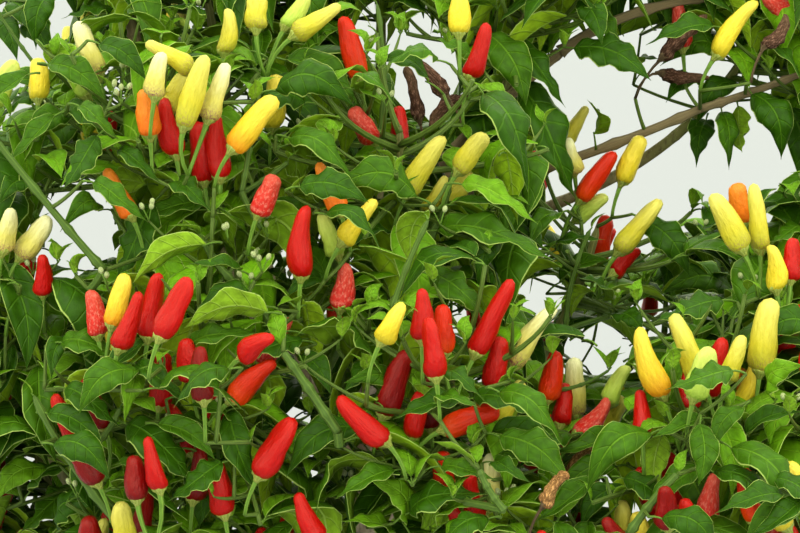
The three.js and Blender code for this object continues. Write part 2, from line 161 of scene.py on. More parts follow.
class Finish:
    """A material on a Principled shader."""

    def __init__(self, name, **constants):
        self.material = bpy.data.materials.new(name)
        self.material.use_nodes = True
        self.tree = self.material.node_tree
        self.shader = self.tree.nodes["Principled BSDF"]
        for socket, value in constants.items():
            self.shader.inputs[socket.replace("_", " ")].default_value = value

    def node(self, kind, settings=None, values=None, output=0):
        made = self.tree.nodes.new(kind)
        for name, value in (settings or {}).items():
            if name == "stops":
                self.set_stops(made.color_ramp, value)
            else:
                setattr(made, name, value)
        for socket, value in (values or {}).items():
            self.feed(made.inputs[socket], value)
        return Wire(self, made.outputs[output])

    def set_stops(self, ramp, stops):
        while len(ramp.elements) < len(stops):
            ramp.elements.new(1)
        for element, (place, color) in zip(ramp.elements, stops):
            element.position = place
            element.color = (*color, 1)

    def feed(self, socket, value):
        if isinstance(value, Wire):
            self.tree.links.new(value.socket, socket)
        elif isinstance(value, tuple) and len(value) == 3 and socket.type == "RGBA":
            socket.default_value = (*value, 1)
        else:
            socket.default_value = value

    def mix(self, share, low, high):
        """A colour between two, by a share from 0 to 1."""
        settings = {"data_type": "RGBA"}
        return self.node("ShaderNodeMix", settings, {0: share, 6: low, 7: high}, output=2)

    def noise(self, vector, scale, detail=3.0, rough=0.5):
        values = {"Vector": vector, "Scale": scale, "Detail": detail, "Roughness": rough}
        return self.node("ShaderNodeTexNoise", {}, values)

    def uv(self):
        """The UV map, and a wire for each of its two coordinates."""
        uv = self.node("ShaderNodeUVMap", {"uv_map": UV_NAME})
        parts = [self.node("ShaderNodeSeparateXYZ", {}, {0: uv}, output=n) for n in (0, 1)]
        return uv, *parts

    def stretch(self, vector, *scale):
        return self.node("ShaderNodeMapping", {}, {"Vector": vector, "Scale": scale})

    def bump(self, height, distance):
        values = {"Height": height, "Distance": distance}
        self.feed(self.shader.inputs["Normal"], self.node("ShaderNodeBump", {}, values))

    def set(self, socket, value):
        self.feed(self.shader.inputs[socket], value)


def dimmed(color, share):
    return tuple(share * part for part in color)


print("finish tools ready")

# %% [markdown]
# ## Patterns and piles
# The bush has thousands of leaves, stalks and pods. Each kind is modelled a few times as a
# *pattern* with bmesh operators, read into arrays, and bent or turned into its many places with
# numpy. The copies are then joined into one mesh, because a mesh is what an export can carry.

# %% Patterns, and how copies of them are joined
MOST_TRIANGLES = 190000


def read(items, name, width, kind=np.float32):
    values = np.empty(len(items) * width, kind)
    items.foreach_get(name, values)
    return values.reshape(-1, width) if width > 1 else values


class Pattern:
    """The arrays of one small closed shape."""

    def __init__(self, bm):
        mesh = bpy.data.meshes.new("pattern")
        bm.to_mesh(mesh)
        bm.free()
        self.places = read(mesh.vertices, "co", 3).astype(float)
        self.corners = read(mesh.loops, "vertex_index", 1, np.int32)
        self.sizes = read(mesh.polygons, "loop_total", 1, np.int32)
        self.slots = read(mesh.polygons, "material_index", 1, np.int32)
        self.smooth = read(mesh.polygons, "use_smooth", 1, bool)
        self.uv = read(mesh.uv_layers[UV_NAME].uv, "vector", 2)
        self.triangles = int((self.sizes - 2).sum())
        bpy.data.meshes.remove(mesh)


def join(name, copies, finishes):
    """One object from (pattern, places in mm) pairs."""
    patterns = [pattern for pattern, _ in copies]
    counts = np.array([len(pattern.places) for pattern in patterns])
    offsets = np.concatenate([[0], np.cumsum(counts)[:-1]])
    places = np.concatenate([points for _, points in copies]) * MM
    corners = np.concatenate([p.corners + start for p, start in zip(patterns, offsets)])
    sizes = np.concatenate([pattern.sizes for pattern in patterns])
    mesh = bpy.data.meshes.new(name)
    mesh.vertices.add(len(places))
    mesh.vertices.foreach_set("co", places.astype(np.float32).ravel())
    mesh.loops.add(len(corners))
    mesh.loops.foreach_set("vertex_index", corners.astype(np.int32))
    mesh.polygons.add(len(sizes))
    starts = np.concatenate([[0], np.cumsum(sizes)[:-1]])
    mesh.polygons.foreach_set("loop_start", starts.astype(np.int32))
    mesh.polygons.foreach_set("material_index", np.concatenate([p.slots for p in patterns]))
    mesh.polygons.foreach_set("use_smooth", np.concatenate([p.smooth for p in patterns]))
    layer = mesh.uv_layers.new(name=UV_NAME)
    layer.uv.foreach_set("vector", np.concatenate([p.uv for p in patterns]).ravel())
    for finish in finishes:
        mesh.materials.append(finish.material)
    mesh.update(calc_edges=True)
    mesh.validate()
    piece = bpy.data.objects.new(name, mesh)
    bpy.context.scene.collection.objects.link(piece)
    return piece


def join_in_pieces(name, copies, finishes):
    """Joins copies into as many objects as keep each under the largest size."""
    pieces, batch, triangles = [], [], 0
    for copy in copies:
        if batch and triangles + copy[0].triangles > MOST_TRIANGLES:
            pieces.append(join(f"{name}_{len(pieces) + 1}", batch, finishes))
            batch, triangles = [], 0
        batch.append(copy)
        triangles += copy[0].triangles
    if batch:
        label = f"{name}_{len(pieces) + 1}" if pieces else name
        pieces.append(join(label, batch, finishes))
    return pieces


def unit(vector):
    vector = np.asarray(vector, float)
    return vector / max(np.linalg.norm(vector), 1e-9)


print("a piece holds up to", MOST_TRIANGLES, "triangles")

# %% [markdown]
# ## The rule of growth
# The solids were grown by a rule: an even scatter of numbers, limbs as Bezier curves, and twigs
# that rise from one stem in each mass. The same rule is written again here, with the same named
# sizes, so that every twig grows on from its bough. It is then carried to finer twigs.

# %% Named sizes of the limbs and masses, in millimetres
TRUNK_HEIGHT = 165
TRUNK_FOOT_RADIUS = 19
TRUNK_RADIUS = 12.5
TRUNK_TOP_RADIUS = 9.5
FLARE_HEIGHT = 30
TRUNK_LEAN = (-14, 8)
CUT_DEPTH = 4
ROOT_COUNT = 3
ROOT_SWELL = 0.16
BOUGH_TIP_RADIUS = 4.2
BOUGH_LEAST_TAPER = 0.8
BOUGH_SHARE = 0.73
LEADER_SHARE = 0.96
BOUGH_SPREAD = 0.35
BOUGH_RISE = 0.35
BOUGH_PULL = (0.33, 0.26)
BOUGH_STOP = 0.62
STEM_TOP_RADIUS = 3.0
STEM_RISE = 0.25
STEM_BEND = 0.5
GOLDEN_ANGLE = 2.399963

# Masses of foliage: middle, radius, the limb that its bough leaves, and how far along it.
MASSES = {
    "top_centre": ((-15, 35, 800), 138, "trunk", 1),
    "left_side": ((-325, 15, 545), 142, "trunk", 0.72),
    "front_left": ((-135, -285, 525), 138, "trunk", 0.9),
    "front_centre": ((35, -300, 500), 135, "trunk", 0.66),
    "front_right": ((205, -285, 465), 138, "trunk", 0.84),
    "right_side": ((350, 55, 475), 142, "trunk", 0.74),
    "back_centre": ((20, 235, 610), 142, "trunk", 0.94),
    "top_left": ((-150, -35, 765), 138, "top_centre", 0.4),
    "top_right": ((290, -5, 735), 135, "top_centre", 0.7),
    "front_centre_high": ((0, -215, 655), 132, "top_centre", 0.5),
    "front_left_high": ((-180, -210, 665), 135, "top_left", 0.45),
    "back_left_high": ((-185, 185, 640), 142, "top_left", 0.25),
    "centre_right": ((150, -65, 570), 112, "top_centre", 0.32),
    "centre_high": ((95, -70, 745), 115, "top_centre", 0.6),
    "back_right": ((230, 225, 440), 138, "right_side", 0.34),
    "back_low": ((25, 240, 400), 134, "back_centre", 0.3),
    "left_front": ((-285, -195, 525), 138, "left_side", 0.55),
    "left_low": ((-285, -45, 395), 138, "left_side", 0.36),
    "back_left_low": ((-180, 205, 430), 140, "left_side", 0.24),
    "front_left_low": ((-140, -255, 385), 134, "front_left", 0.42),
    "front_right_low": ((95, -265, 370), 134, "front_right", 0.36),
    "right_front": ((325, -160, 545), 136, "right_side", 0.52),
}
CENTRES = np.array([mass[0] for mass in MASSES.values()], float)
RADII = np.array([mass[1] for mass in MASSES.values()], float)

# Openings through the crown along the view: across, up, half the width and half the height.
VIEW_FRONT = -300
OPENINGS = np.array([
    (160, 716, 72, 36), (146, 650, 48, 42), (226, 679, 42, 30), (-216, 628, 22, 30), (18, 727, 20, 28),
])

# Nodes on the best side that trusses of pods rise from.
TRUSSES = np.array([
    (-148, -300, 652), (-126, -305, 634), (-232, -238, 696), (-260, -280, 584), (-98, -228, 726),
    (-26, -215, 706), (-68, -330, 574), (-42, -285, 578), (-188, -342, 526), (-124, -345, 494),
    (18, -340, 512), (8, -375, 466), (-92, -370, 438), (62, -330, 514), (114, -268, 474),
    (188, -332, 488), (226, -326, 496), (236, -280, 578), (158, -120, 566), (136, -85, 604),
    (26, -245, 632), (48, -200, 704),
], float)


def scatter(a, b, c):
    """An even scatter of numbers from 0 to 1, the same for the same three keys."""
    x = math.sin(a * 12.9898 + b * 78.233 + c * 37.719) * 43758.5453
    return x - math.floor(x)


def between(limits, share):
    return limits[0] + (limits[1] - limits[0]) * share


def bezier(points, shares):
    """Points of a Bezier curve at shares of its parameter."""
    shares = np.atleast_1d(shares)[:, None]
    level = [np.broadcast_to(point, (len(shares), 3)) for point in np.asarray(points, float)]
    while len(level) > 1:
        level = [a + (b - a) * shares for a, b in zip(level, level[1:])]
    return level[0]


class Curve:
    """A Bezier curve that is walked by its length."""

    FINENESS = 200
    STEP = 0.0005

    def __init__(self, *points):
        self.points = np.array(points, float)
        self.shares = np.linspace(0, 1, self.FINENESS + 1)
        steps = np.linalg.norm(np.diff(bezier(self.points, self.shares), axis=0), axis=1)
        self.walked = np.concatenate([[0], np.cumsum(steps)])
        self.length = self.walked[-1]

    def at(self, share):
        found = np.interp(np.asarray(share) * self.length, self.walked, self.shares)
        points = bezier(self.points, found)
        return points if np.ndim(share) else points[0]

    def way(self, share):
        low = max(share - self.STEP, 0)
        high = min(share + self.STEP, 1)
        return unit(self.at(high) - self.at(low))


print(len(MASSES), "masses and", len(TRUSSES), "trusses")

# %% Limbs by the rule
limbs = {}


def add_trunk():
    curve = Curve((0, 0, -CUT_DEPTH), (0, 0, TRUNK_HEIGHT / 2), (*TRUNK_LEAN, TRUNK_HEIGHT))

    def radius(share, angle=0.0):
        """The trunk swells towards each root at its foot."""
        flare = max(0, 1 - (share * TRUNK_HEIGHT - CUT_DEPTH) / FLARE_HEIGHT) ** 2
        swell = 1 + ROOT_SWELL * min(flare, 1) * math.cos(ROOT_COUNT * angle)
        round_part = between((TRUNK_RADIUS, TRUNK_TOP_RADIUS), share)
        return (round_part + (TRUNK_FOOT_RADIUS - TRUNK_RADIUS) * flare) * swell

    limbs["trunk"] = {"curve": curve, "radius": radius, "sunk": 0}


def add_bough(name):
    middle, mass_radius, parent_name, along = MASSES[name]
    parent = limbs[parent_name]
    foot = parent["curve"].at(along)
    parent_way = parent["curve"].way(along)
    is_leader = along == 1
    straight = np.array(middle, float) - foot
    distance = np.linalg.norm(straight)
    outward = unit((straight[0], straight[1], 0))
    onward = unit(straight)
    entry_way = unit(onward + UP * BOUGH_RISE)
    entry = np.array(middle) - entry_way * BOUGH_STOP * mass_radius
    leave = parent_way if is_leader else unit(onward + outward * BOUGH_SPREAD)
    curve = Curve(
        foot,
        foot + leave * BOUGH_PULL[0] * distance,
        entry - entry_way * BOUGH_PULL[1] * distance,
        entry,
    )
    share = LEADER_SHARE if is_leader else BOUGH_SHARE
    foot_radius = max(share * parent["radius"](along), BOUGH_TIP_RADIUS + BOUGH_LEAST_TAPER)

    def radius(share, angle=0.0):
        """A bough is round, so the angle makes no difference."""
        return between((foot_radius, BOUGH_TIP_RADIUS), share)

    sunk = 0 if is_leader else parent["radius"](along)
    limbs[name] = {"curve": curve, "radius": radius, "sunk": sunk}


add_trunk()
for mass_name in MASSES:
    add_bough(mass_name)
print(len(limbs), "limbs, the longest", round(max(limb["curve"].length for limb in limbs.values())), "mm")

# %% [markdown]
# ## Bark
# The foot and boughs are woody: grey-brown, with shallow furrows along the limb, and a swollen
# ring with old scars wherever a leaf and a fork once stood. A bump alone would leave a smooth
# outline, so the relief is in the mesh. Each limb starts as a cone from one bmesh call, its
# long edges are divided, and its rings are moved onto the limb's curve.


# %% A rod that can be bent
def make_rod(sides, steps):
    """A closed upright rod with rings. Its UV runs round, mirrored so that it has no seam, and up."""
    bm = bmesh.new()
    bmesh.ops.create_cone(bm, cap_ends=True, segments=sides, radius1=1, radius2=1, depth=1)
    upright = [e for e in bm.edges if abs(e.verts[0].co.z - e.verts[1].co.z) > 0.5]
    if steps > 1:
        bmesh.ops.subdivide_edges(bm, edges=upright, cuts=steps - 1, use_grid_fill=True)
    layer = bm.loops.layers.uv.new(UV_NAME)
    for face in bm.faces:
        is_cap = abs(face.normal.z) > 0.5
        face.smooth = not is_cap
        for loop in face.loops:
            x, y, z = loop.vert.co
            if is_cap:
                loop[layer].uv = (0.5 + 0.4 * x, 0.5 + 0.4 * y)
            else:
                loop[layer].uv = (abs(math.atan2(x, y)) / math.pi, z + 0.5)
    rod = Pattern(bm)
    rod.ring = np.rint((rod.places[:, 2] + 0.5) * steps).astype(int)
    rod.steps = steps
    return rod


# A straight rod has no plane of its own, so its cross directions start from this way.
STRAIGHT_PLANE = (0.31, 0.87, 0.39)


def bend_rod(rod, points, radii):
    """The rod's places along a short Bezier curve, its radius spread over the given radii."""
    rings = np.linspace(0, 1, rod.steps + 1)
    centres = bezier(points, rings)
    ways = np.gradient(centres, axis=0)
    ways /= np.linalg.norm(ways, axis=1, keepdims=True) + 1e-9
    points = np.asarray(points, float)
    plane = np.cross(points[1] - points[0], points[-1] - points[0])
    if np.linalg.norm(plane) < 1e-3 * np.linalg.norm(points[-1] - points[0]) ** 2:
        plane = np.cross(ways[0], STRAIGHT_PLANE)
    sides = np.cross(ways, plane)
    sides /= np.linalg.norm(sides, axis=1, keepdims=True) + 1e-9
    fronts = np.cross(ways, sides)
    radius = np.interp(rings, np.linspace(0, 1, len(radii)), radii)[rod.ring][:, None]
    x, y = rod.places[:, :1], rod.places[:, 1:2]
    return centres[rod.ring] + radius * (x * sides[rod.ring] + y * fronts[rod.ring])


# %% Bark relief on every limb
BARK_SIDES = 16
RING_SPACING = 3.2
FURROW = 0.055
NODE_SPACING = 46
NODE_SWELL = 0.16
NODE_WIDTH = 3.2
COLLAR_SWELL = 0.42
COLLAR_LENGTH = 12
LEADER_SUNK = 6
# A bough's last ring is a little narrower, so that it ends inside the stem of its mass.
LAST_RING = 0.94
# No limb starts out this way, so it gives each one a first cross direction.
FIRST_SIDE = (0.2, 1.0, 0.1)


def grain_at(x, y, walked, turns, length, shift):
    """Noise on a limb: so fine round it, and so long along it in mm."""
    return noise.noise(Vector((x * turns, y * turns, walked / length + shift)))


def limb_frames(curve, shares):
    """Centres and cross directions along a limb, turned as little as can be."""
    centres = curve.at(shares)
    ways = np.gradient(centres, axis=0)
    ways /= np.linalg.norm(ways, axis=1, keepdims=True)
    side = unit(np.cross(ways[0], FIRST_SIDE))
    sides = []
    for way in ways:
        side = unit(side - way * (side @ way))
        sides.append(side)
    sides = np.array(sides)
    return centres, sides, np.cross(ways, sides)


def bark_limb(name, number):
    """A limb with furrows, swollen nodes and a collar where it leaves its parent."""
    limb = limbs[name]
    curve = limb["curve"]
    steps = int(curve.length / RING_SPACING)
    first = CUT_DEPTH / curve.length if name == "trunk" else 0
    shares = np.linspace(first, 1, steps + 1)
    centres, sides, fronts = limb_frames(curve, shares)
    rod = make_rod(BARK_SIDES, steps)
    places = np.empty_like(rod.places)
    next_node = NODE_SPACING * (0.4 + scatter(number, 1, 61))
    nodes = []
    while next_node < curve.length:
        nodes.append(next_node)
        next_node += NODE_SPACING * (0.7 + 0.6 * scatter(number, len(nodes), 62))
    for index, (x, y, _) in enumerate(rod.places):
        ring = rod.ring[index]
        walked = shares[ring] * curve.length
        angle = math.atan2(x, y)
        radius = limb["radius"](shares[ring], angle)
        grain = grain_at(x, y, walked, 2.2, 55, number * 7.3)
        fine = grain_at(x, y, walked, 5.0, 14, number * 3.1)
        relief = 1 + FURROW * grain + 0.6 * FURROW * fine
        for node in nodes:
            relief += NODE_SWELL * math.exp(-((walked - node) / NODE_WIDTH) ** 2) * (0.7 + 0.5 * fine)
        beyond = walked - limb["sunk"]
        if name != "trunk" and limb["sunk"] and beyond < COLLAR_LENGTH:
            relief += COLLAR_SWELL * (1 - max(beyond, 0) / COLLAR_LENGTH) ** 2
        if ring == steps and name != "trunk":
            relief *= LAST_RING
        places[index] = centres[ring] + radius * relief * (x * sides[ring] + y * fronts[ring])
    if name == "trunk":
        foot = rod.ring == 0
        places[foot, 2] = 0
        places[:, 2] = np.maximum(places[:, 2], 0)
    elif not limb["sunk"]:
        foot_way = curve.way(0)
        places[rod.ring == 0] -= foot_way * LEADER_SUNK
    rod.young = shares[rod.ring] * (0 if name == "trunk" else 1)
    return rod, places


bark_copies = [bark_limb(name, number) for number, name in enumerate(limbs)]
print("bark:", sum(rod.triangles for rod, _ in bark_copies), "triangles")

# %% The finish of bark
BARK_BROWN = (0.210, 0.145, 0.085)
BARK_PALE = (0.420, 0.340, 0.240)
BARK_DARK = (0.075, 0.050, 0.030)
BARK_GREEN = (0.210, 0.220, 0.065)


def bark_finish():
    """Streaked grey-brown, with dark furrows, pale cork specks and green towards young wood."""
    finish = Finish("bark", Specular_IOR_Level=0.3)
    place = finish.node("ShaderNodeTexCoord", output=3)
    streak = finish.noise(finish.stretch(place, 1, 1, 0.35), 190, 5, 0.6)
    patch = finish.noise(place, 38, 3)
    speck = finish.noise(place, 620, 2).ramp_up(0.62, 0.72)
    furrow = 1 - streak.ramp_up(0.30, 0.52)
    young = finish.node("ShaderNodeAttribute", {"attribute_name": "young"}, output=2)
    wood = finish.mix(patch.ramp_up(0.35, 0.65), BARK_BROWN, BARK_PALE)
    wood = finish.mix(young.ramp_up(0.45, 1.05) * (0.55 + 0.6 * patch), wood, BARK_GREEN)
    wood = finish.mix(furrow * 0.75, wood, BARK_DARK)
    wood = finish.mix(speck * 0.6, wood, BARK_PALE)
    finish.set("Base Color", wood)
    finish.set("Roughness", 0.92 - 0.25 * patch)
    finish.bump(streak + speck * 0.25, 0.0011)
    return finish


bark = bark_finish()
trunk_and_boughs = join("trunk_and_boughs", bark_copies, [bark])
layer = trunk_and_boughs.data.attributes.new("young", "FLOAT", "POINT")
layer.data.foreach_set("value", np.concatenate([rod.young for rod, _ in bark_copies]).astype(np.float32))
trunk_and_boughs.data.uv_layers.remove(trunk_and_boughs.data.uv_layers[UV_NAME])
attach(trunk_and_boughs, "root")
bough_nodes = ["trunk"] + ["bough_" + name for name in MASSES]
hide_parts(*bough_nodes)
print("bark replaces", len(bough_nodes), "solids")

# %% [markdown]
# ## Where there is room
# Leaves of a real bush turn away from each other. To do the same, the crown's space is divided
# into small cubes, and each thing that grows marks the cubes that it fills. A second, flat grid
# holds how near the pods and leaves of the best side are to the camera, so that leaves which
# are dealt by rule stay behind them and don't hide them.

# %% Space, and the picture's depths
CUBE = 6.0
SPACE_LOW = np.array([-540.0, -500.0, -30.0])
SPACE_SIZE = (180, 155, 165)
CELL = 4
# The crown's front and back, and the steps in which the view is walked through it.
CROWN_FRONT = -430.0
CROWN_BACK = 380.0
DEPTH_STEP = 6.0


class Space:
    """Small cubes that are full or free."""

    def __init__(self):
        self.full = np.zeros(SPACE_SIZE, bool)

    def cubes(self, points):
        found = ((np.atleast_2d(points) - SPACE_LOW) / CUBE).astype(int)
        return tuple(np.clip(found, 0, np.array(SPACE_SIZE) - 1).T)

    def mark(self, points):
        self.full[self.cubes(points)] = True

    def hits(self, points):
        """How many of the points are in full cubes."""
        return int(self.full[self.cubes(points)].sum())


class Depths:
    """How near the picture's named pods, leaves and branches are, cell by cell."""

    EMPTY = 1e9

    def __init__(self):
        self.near = np.full((IMAGE_HEIGHT // CELL + 1, IMAGE_WIDTH // CELL), self.EMPTY)

    def cells(self, points):
        across, down, away = to_photo(points)
        inside = (across >= 0) & (across < IMAGE_WIDTH) & (down >= 0) & (down < IMAGE_HEIGHT)
        return (down[inside] / CELL).astype(int), (across[inside] / CELL).astype(int), away[inside]

    def mark(self, points):
        rows, columns, away = self.cells(points)
        np.minimum.at(self.near, (rows, columns), away)

    def hides(self, points, margin=3.0):
        """How many of the points would stand in front of something named."""
        rows, columns, away = self.cells(points)
        near = self.near[rows, columns]
        return int(((away < near - margin) & (near < self.EMPTY)).sum())


def in_photo(point):
    across, down, _ = to_photo(point)
    return 0 < across[0] < IMAGE_WIDTH and 0 < down[0] < IMAGE_HEIGHT


def in_opening(points):
    """Which points are in an opening, seen along the view."""
    points = np.atleast_2d(points)
    scale = ((VIEW_FRONT - EYE[1]) / (points[:, 1] - EYE[1]))[:, None]
    flat = EYE[[0, 2]] + (points[:, [0, 2]] - EYE[[0, 2]]) * scale
    off = (flat[:, None] - OPENINGS[:, :2]) / OPENINGS[:, 2:]
    return ((off ** 2).sum(2) < 1).any(1)


def own_mass(points):
    """How deep points are in the round of the mass that they are deepest in, in mm."""
    reach = np.linalg.norm(np.atleast_2d(points)[:, None] - CENTRES, axis=2)
    return (RADII - reach).max(1)


def front_at(pixel, below):
    """The depth y where the view through a pixel is first so far below the crown's surface."""
    for deep in np.arange(CROWN_FRONT, CROWN_BACK, DEPTH_STEP):
        if own_mass(from_photo(pixel, deep))[0] > below:
            return deep
    return None


space = Space()
depths = Depths()
print("cubes", space.full.size, "cells", depths.near.size)

# %% [markdown]
# ## Twigs
# Each mass has one stem, which goes on from its bough, and twigs that leave it outwards and turn
# up. They could be drawn one by one, but there are hundreds, so each is grown to its tip. The
# tips are the named trusses first, then points of an even spiral, as in the solids, then finer
# ones between those. The twigs are green and ribbed, a little thicker at each fork.

# %% Stems and twigs by the rule
TIP_TRIES = 61
TIP_STRIDE = 23
TIP_BEHIND = -0.3
CROWN_MIDDLE = 480
TIP_REACH = (0.7, 0.82)
TIP_SPACING = 64
FINE_SPACING = 47
TIPS_PER_MASS = 5
TIPS_BESIDE_TRUSSES = 3
FINE_TIPS = 12
PODDED_TIPS = 0.3
TWIG_FOOT = (0.35, 0.95)
TWIG_LOWEST_FOOT = 0.12
TWIG_FULL_RISE = 160
TWIG_BEND_OUT = 0.72
TWIG_BEND_UP = 0.34
TWIG_RADII = (2.3, 1.6)
# How much thicker a twig is at its fork, just past it, and further on.
TWIG_SWELL = (1.25, 1.0, 0.92)
STEM_SUNK = 5
POINT_RADIUS = 0.9

MOST_BONES = 40000
stem_rods = []
twig_rods = []
stalk_rods = []
skeleton = np.zeros((MOST_BONES, 5))
bones = 0
STEM_ROD = make_rod(10, 14)
TWIG_ROD = make_rod(8, 8)
SHOOT_ROD = make_rod(6, 5)
STALK_ROD = make_rod(6, 4)
PETIOLE_ROD = make_rod(4, 3)


def mass_is_own(index, point):
    """Whether a point is inside a mass's round and nearer its middle than any other's."""
    reach = np.linalg.norm(CENTRES - point, axis=1)
    return reach[index] <= RADII[index] and reach.argmin() == index


def on_round(height, turn):
    """The way from a round's middle to a place on it, from its height and its turn."""
    level = math.sqrt(1 - height * height)
    return np.array([level * math.cos(turn), level * math.sin(turn), height])


def tips_of(index):
    """The tips that a mass's twigs grow to, and whether each carries pods."""
    middle = CENTRES[index]
    outward = unit(middle - (0, 0, CROWN_MIDDLE))
    nearest = np.linalg.norm(TRUSSES[:, None] - CENTRES, axis=2).argmin(1)
    tips = [(point, True) for point in TRUSSES[nearest == index]]
    wanted = max(TIPS_PER_MASS, len(tips) + TIPS_BESIDE_TRUSSES)
    for spacing, count in ((TIP_SPACING, wanted), (FINE_SPACING, max(FINE_TIPS, wanted + 4))):
        for n in range(TIP_TRIES):
            if len(tips) >= count:
                break
            k = (n * TIP_STRIDE) % TIP_TRIES
            way = on_round(1 - 2 * (k + 0.5) / TIP_TRIES, GOLDEN_ANGLE * k + index)
            if way @ outward < TIP_BEHIND:
                continue
            point = middle + way * RADII[index] * between(TIP_REACH, scatter(index, k, 1))
            if not mass_is_own(index, point) or in_opening(point)[0]:
                continue
            if any(np.linalg.norm(tip - point) < spacing for tip, _ in tips):
                continue
            tips.append((point, scatter(index, k, 2) < PODDED_TIPS))
    return tips


def remember(points, radius, index):
    """Adds points of a limb to the skeleton that later shoots may leave."""
    global bones
    skeleton[bones:bones + len(points), :3] = points
    skeleton[bones:bones + len(points), 3] = radius
    skeleton[bones:bones + len(points), 4] = index
    bones += len(points)


def twig_points(stem, tip):
    """The three points of a twig's curve: it leaves the stem outwards and turns up."""
    foot_z = stem.points[0][2]
    rise = min(max((tip[2] - foot_z) / TWIG_FULL_RISE, 0), 1)
    along = min(max(between(TWIG_FOOT, rise), TWIG_LOWEST_FOOT), TWIG_FOOT[1])
    foot = stem.at(along)
    bend = foot + (tip - foot) * TWIG_BEND_OUT
    bend[2] = between((foot[2], tip[2]), TWIG_BEND_UP)
    return foot, bend, tip


growing_tips = []
for index, name in enumerate(MASSES):
    bough = limbs[name]["curve"]
    way = bough.way(1)
    foot = bough.points[-1] - way * STEM_SUNK
    head = CENTRES[index] + UP * STEM_RISE * RADII[index]
    bend = foot + way * STEM_BEND * np.linalg.norm(head - foot)
    stem = Curve(foot, bend, head)
    stem_radii = (*np.linspace(BOUGH_TIP_RADIUS, STEM_TOP_RADIUS, STEM_ROD.steps), POINT_RADIUS)
    stem_rods.append((STEM_ROD, bend_rod(STEM_ROD, stem.points, stem_radii)))
    remember(stem.at(np.linspace(0.1, 1, 14)), STEM_TOP_RADIUS, index)
    for number, (tip, podded) in enumerate(tips_of(index)):
        points = twig_points(stem, tip)
        twig = Curve(*points)
        thick = [TWIG_RADII[0] * swell for swell in TWIG_SWELL]
        radii = (*thick, TWIG_RADII[1], TWIG_RADII[1])
        twig_rods.append((TWIG_ROD, bend_rod(TWIG_ROD, points, radii)))
        remember(twig.at(np.linspace(0.25, 1, 12)), TWIG_RADII[1], index)
        space.mark(twig.at(np.linspace(0, 1, 30)))
        growing_tips.append({"curve": twig, "index": index, "number": number, "podded": podded})
print(len(stem_rods), "stems and", len(twig_rods), "twigs")

# %% [markdown]
# ## Pods
# A pod is blunt, about three times as long as wide, widest a quarter of the way up from its
# calyx, and slightly lumpy. It is turned from a profile with a spin, then bent and dented a
# little in code. Six patterns are enough, because no two hang the same way round.

# %% Pod patterns
POD_SIDES = 12
# Share of the length from calyx to tip, and share of the widest radius there.
POD_PROFILE = [
    (0.0, 0.0), (0.004, 0.50), (0.05, 0.82), (0.12, 0.97), (0.22, 1.0), (0.36, 0.96), (0.52, 0.88),
    (0.67, 0.79), (0.80, 0.70), (0.90, 0.60), (0.965, 0.41), (1.0, 0.0),
]


def uv_round(bm):
    """A UV map that runs round a shape and up it, mirrored so that it has no seam."""
    layer = bm.loops.layers.uv.new(UV_NAME)
    for face in bm.faces:
        middle = face.calc_center_median()
        for loop in face.loops:
            x, y, z = loop.vert.co
            if math.hypot(x, y) < 1e-5:
                x, y = middle.x, middle.y
            loop[layer].uv = (abs(math.atan2(y, x)) / math.pi, min(max(z, 0), 1))


def spin_profile(profile, sides):
    """A closed shape turned from points (radius, height)."""
    bm = bmesh.new()
    verts = [bm.verts.new((radius, 0, height)) for radius, height in profile]
    edges = [bm.edges.new(pair) for pair in zip(verts, verts[1:])]
    bmesh.ops.spin(
        bm, geom=verts + edges, cent=(0, 0, 0), axis=(0, 0, 1), dvec=(0, 0, 0),
        angle=2 * math.pi, steps=sides, use_merge=True, use_duplicate=False,
    )
    bmesh.ops.remove_doubles(bm, verts=bm.verts[:], dist=1e-5)
    bmesh.ops.recalc_face_normals(bm, faces=bm.faces[:])
    for face in bm.faces:
        face.smooth = True
    return bm


# How fine the dents of a pod and the folds of a dried one are: round it, and along it.
DENT_SCALE = (0.9, 3.1)
FOLD_SCALE = (1.8, 9)


def pod_pattern(number, slim, bend, lump, shrink=0.0):
    """A pod one long up +Z. Its x and y are shares of its widest radius."""
    profile = [(radius * (1 - slim * height), height) for height, radius in POD_PROFILE]
    bm = spin_profile(profile, POD_SIDES)
    uv_round(bm)
    pod = Pattern(bm)
    for row in pod.places:
        x, y, z = row
        round_it, along_it = DENT_SCALE
        dent = noise.noise(Vector((x * round_it + number * 5, y * round_it, z * along_it)))
        rib = math.sin(2 * math.atan2(y, x) + number) * math.sin(math.pi * z)
        size = 1 + lump * dent + 0.4 * lump * rib
        if shrink:
            round_it, along_it = FOLD_SCALE
            fold = noise.noise(Vector((x * round_it + number, y * round_it, z * along_it)))
            size *= 1 - shrink * (0.25 + fold)
        row[0] = x * size + bend * 4 * z * (1 - z) + 0.35 * bend * z * z
        row[1] = y * size
    return pod


# Number, how much slimmer towards the tip, bend and lumpiness, and for dried ones how shrunken.
POD_PATTERNS = [
    pod_pattern(1, -0.06, 0.10, 0.22),
    pod_pattern(2, 0.06, -0.32, 0.30),
    pod_pattern(3, -0.26, 0.16, 0.22),
    pod_pattern(4, 0.12, 0.42, 0.28),
    pod_pattern(5, -0.12, -0.12, 0.38),
    pod_pattern(6, 0.20, 0.20, 0.24),
]
DRIED_PATTERNS = [
    pod_pattern(7, 0.15, 0.5, 0.40, 0.55),
    pod_pattern(8, 0.30, -0.4, 0.45, 0.6),
    pod_pattern(9, 0.0, 0.9, 0.40, 0.5),
]
print("a pod has", POD_PATTERNS[0].triangles, "triangles")

# %% [markdown]
# ## Calyxes and buds
# The calyx is a shallow cup that grips the foot of the pod with five blunt teeth. Buds stand two
# or three together on hair-thin stalks. Both are turned from a profile like the pods, with few
# sides, because hundreds of them are small in any picture.

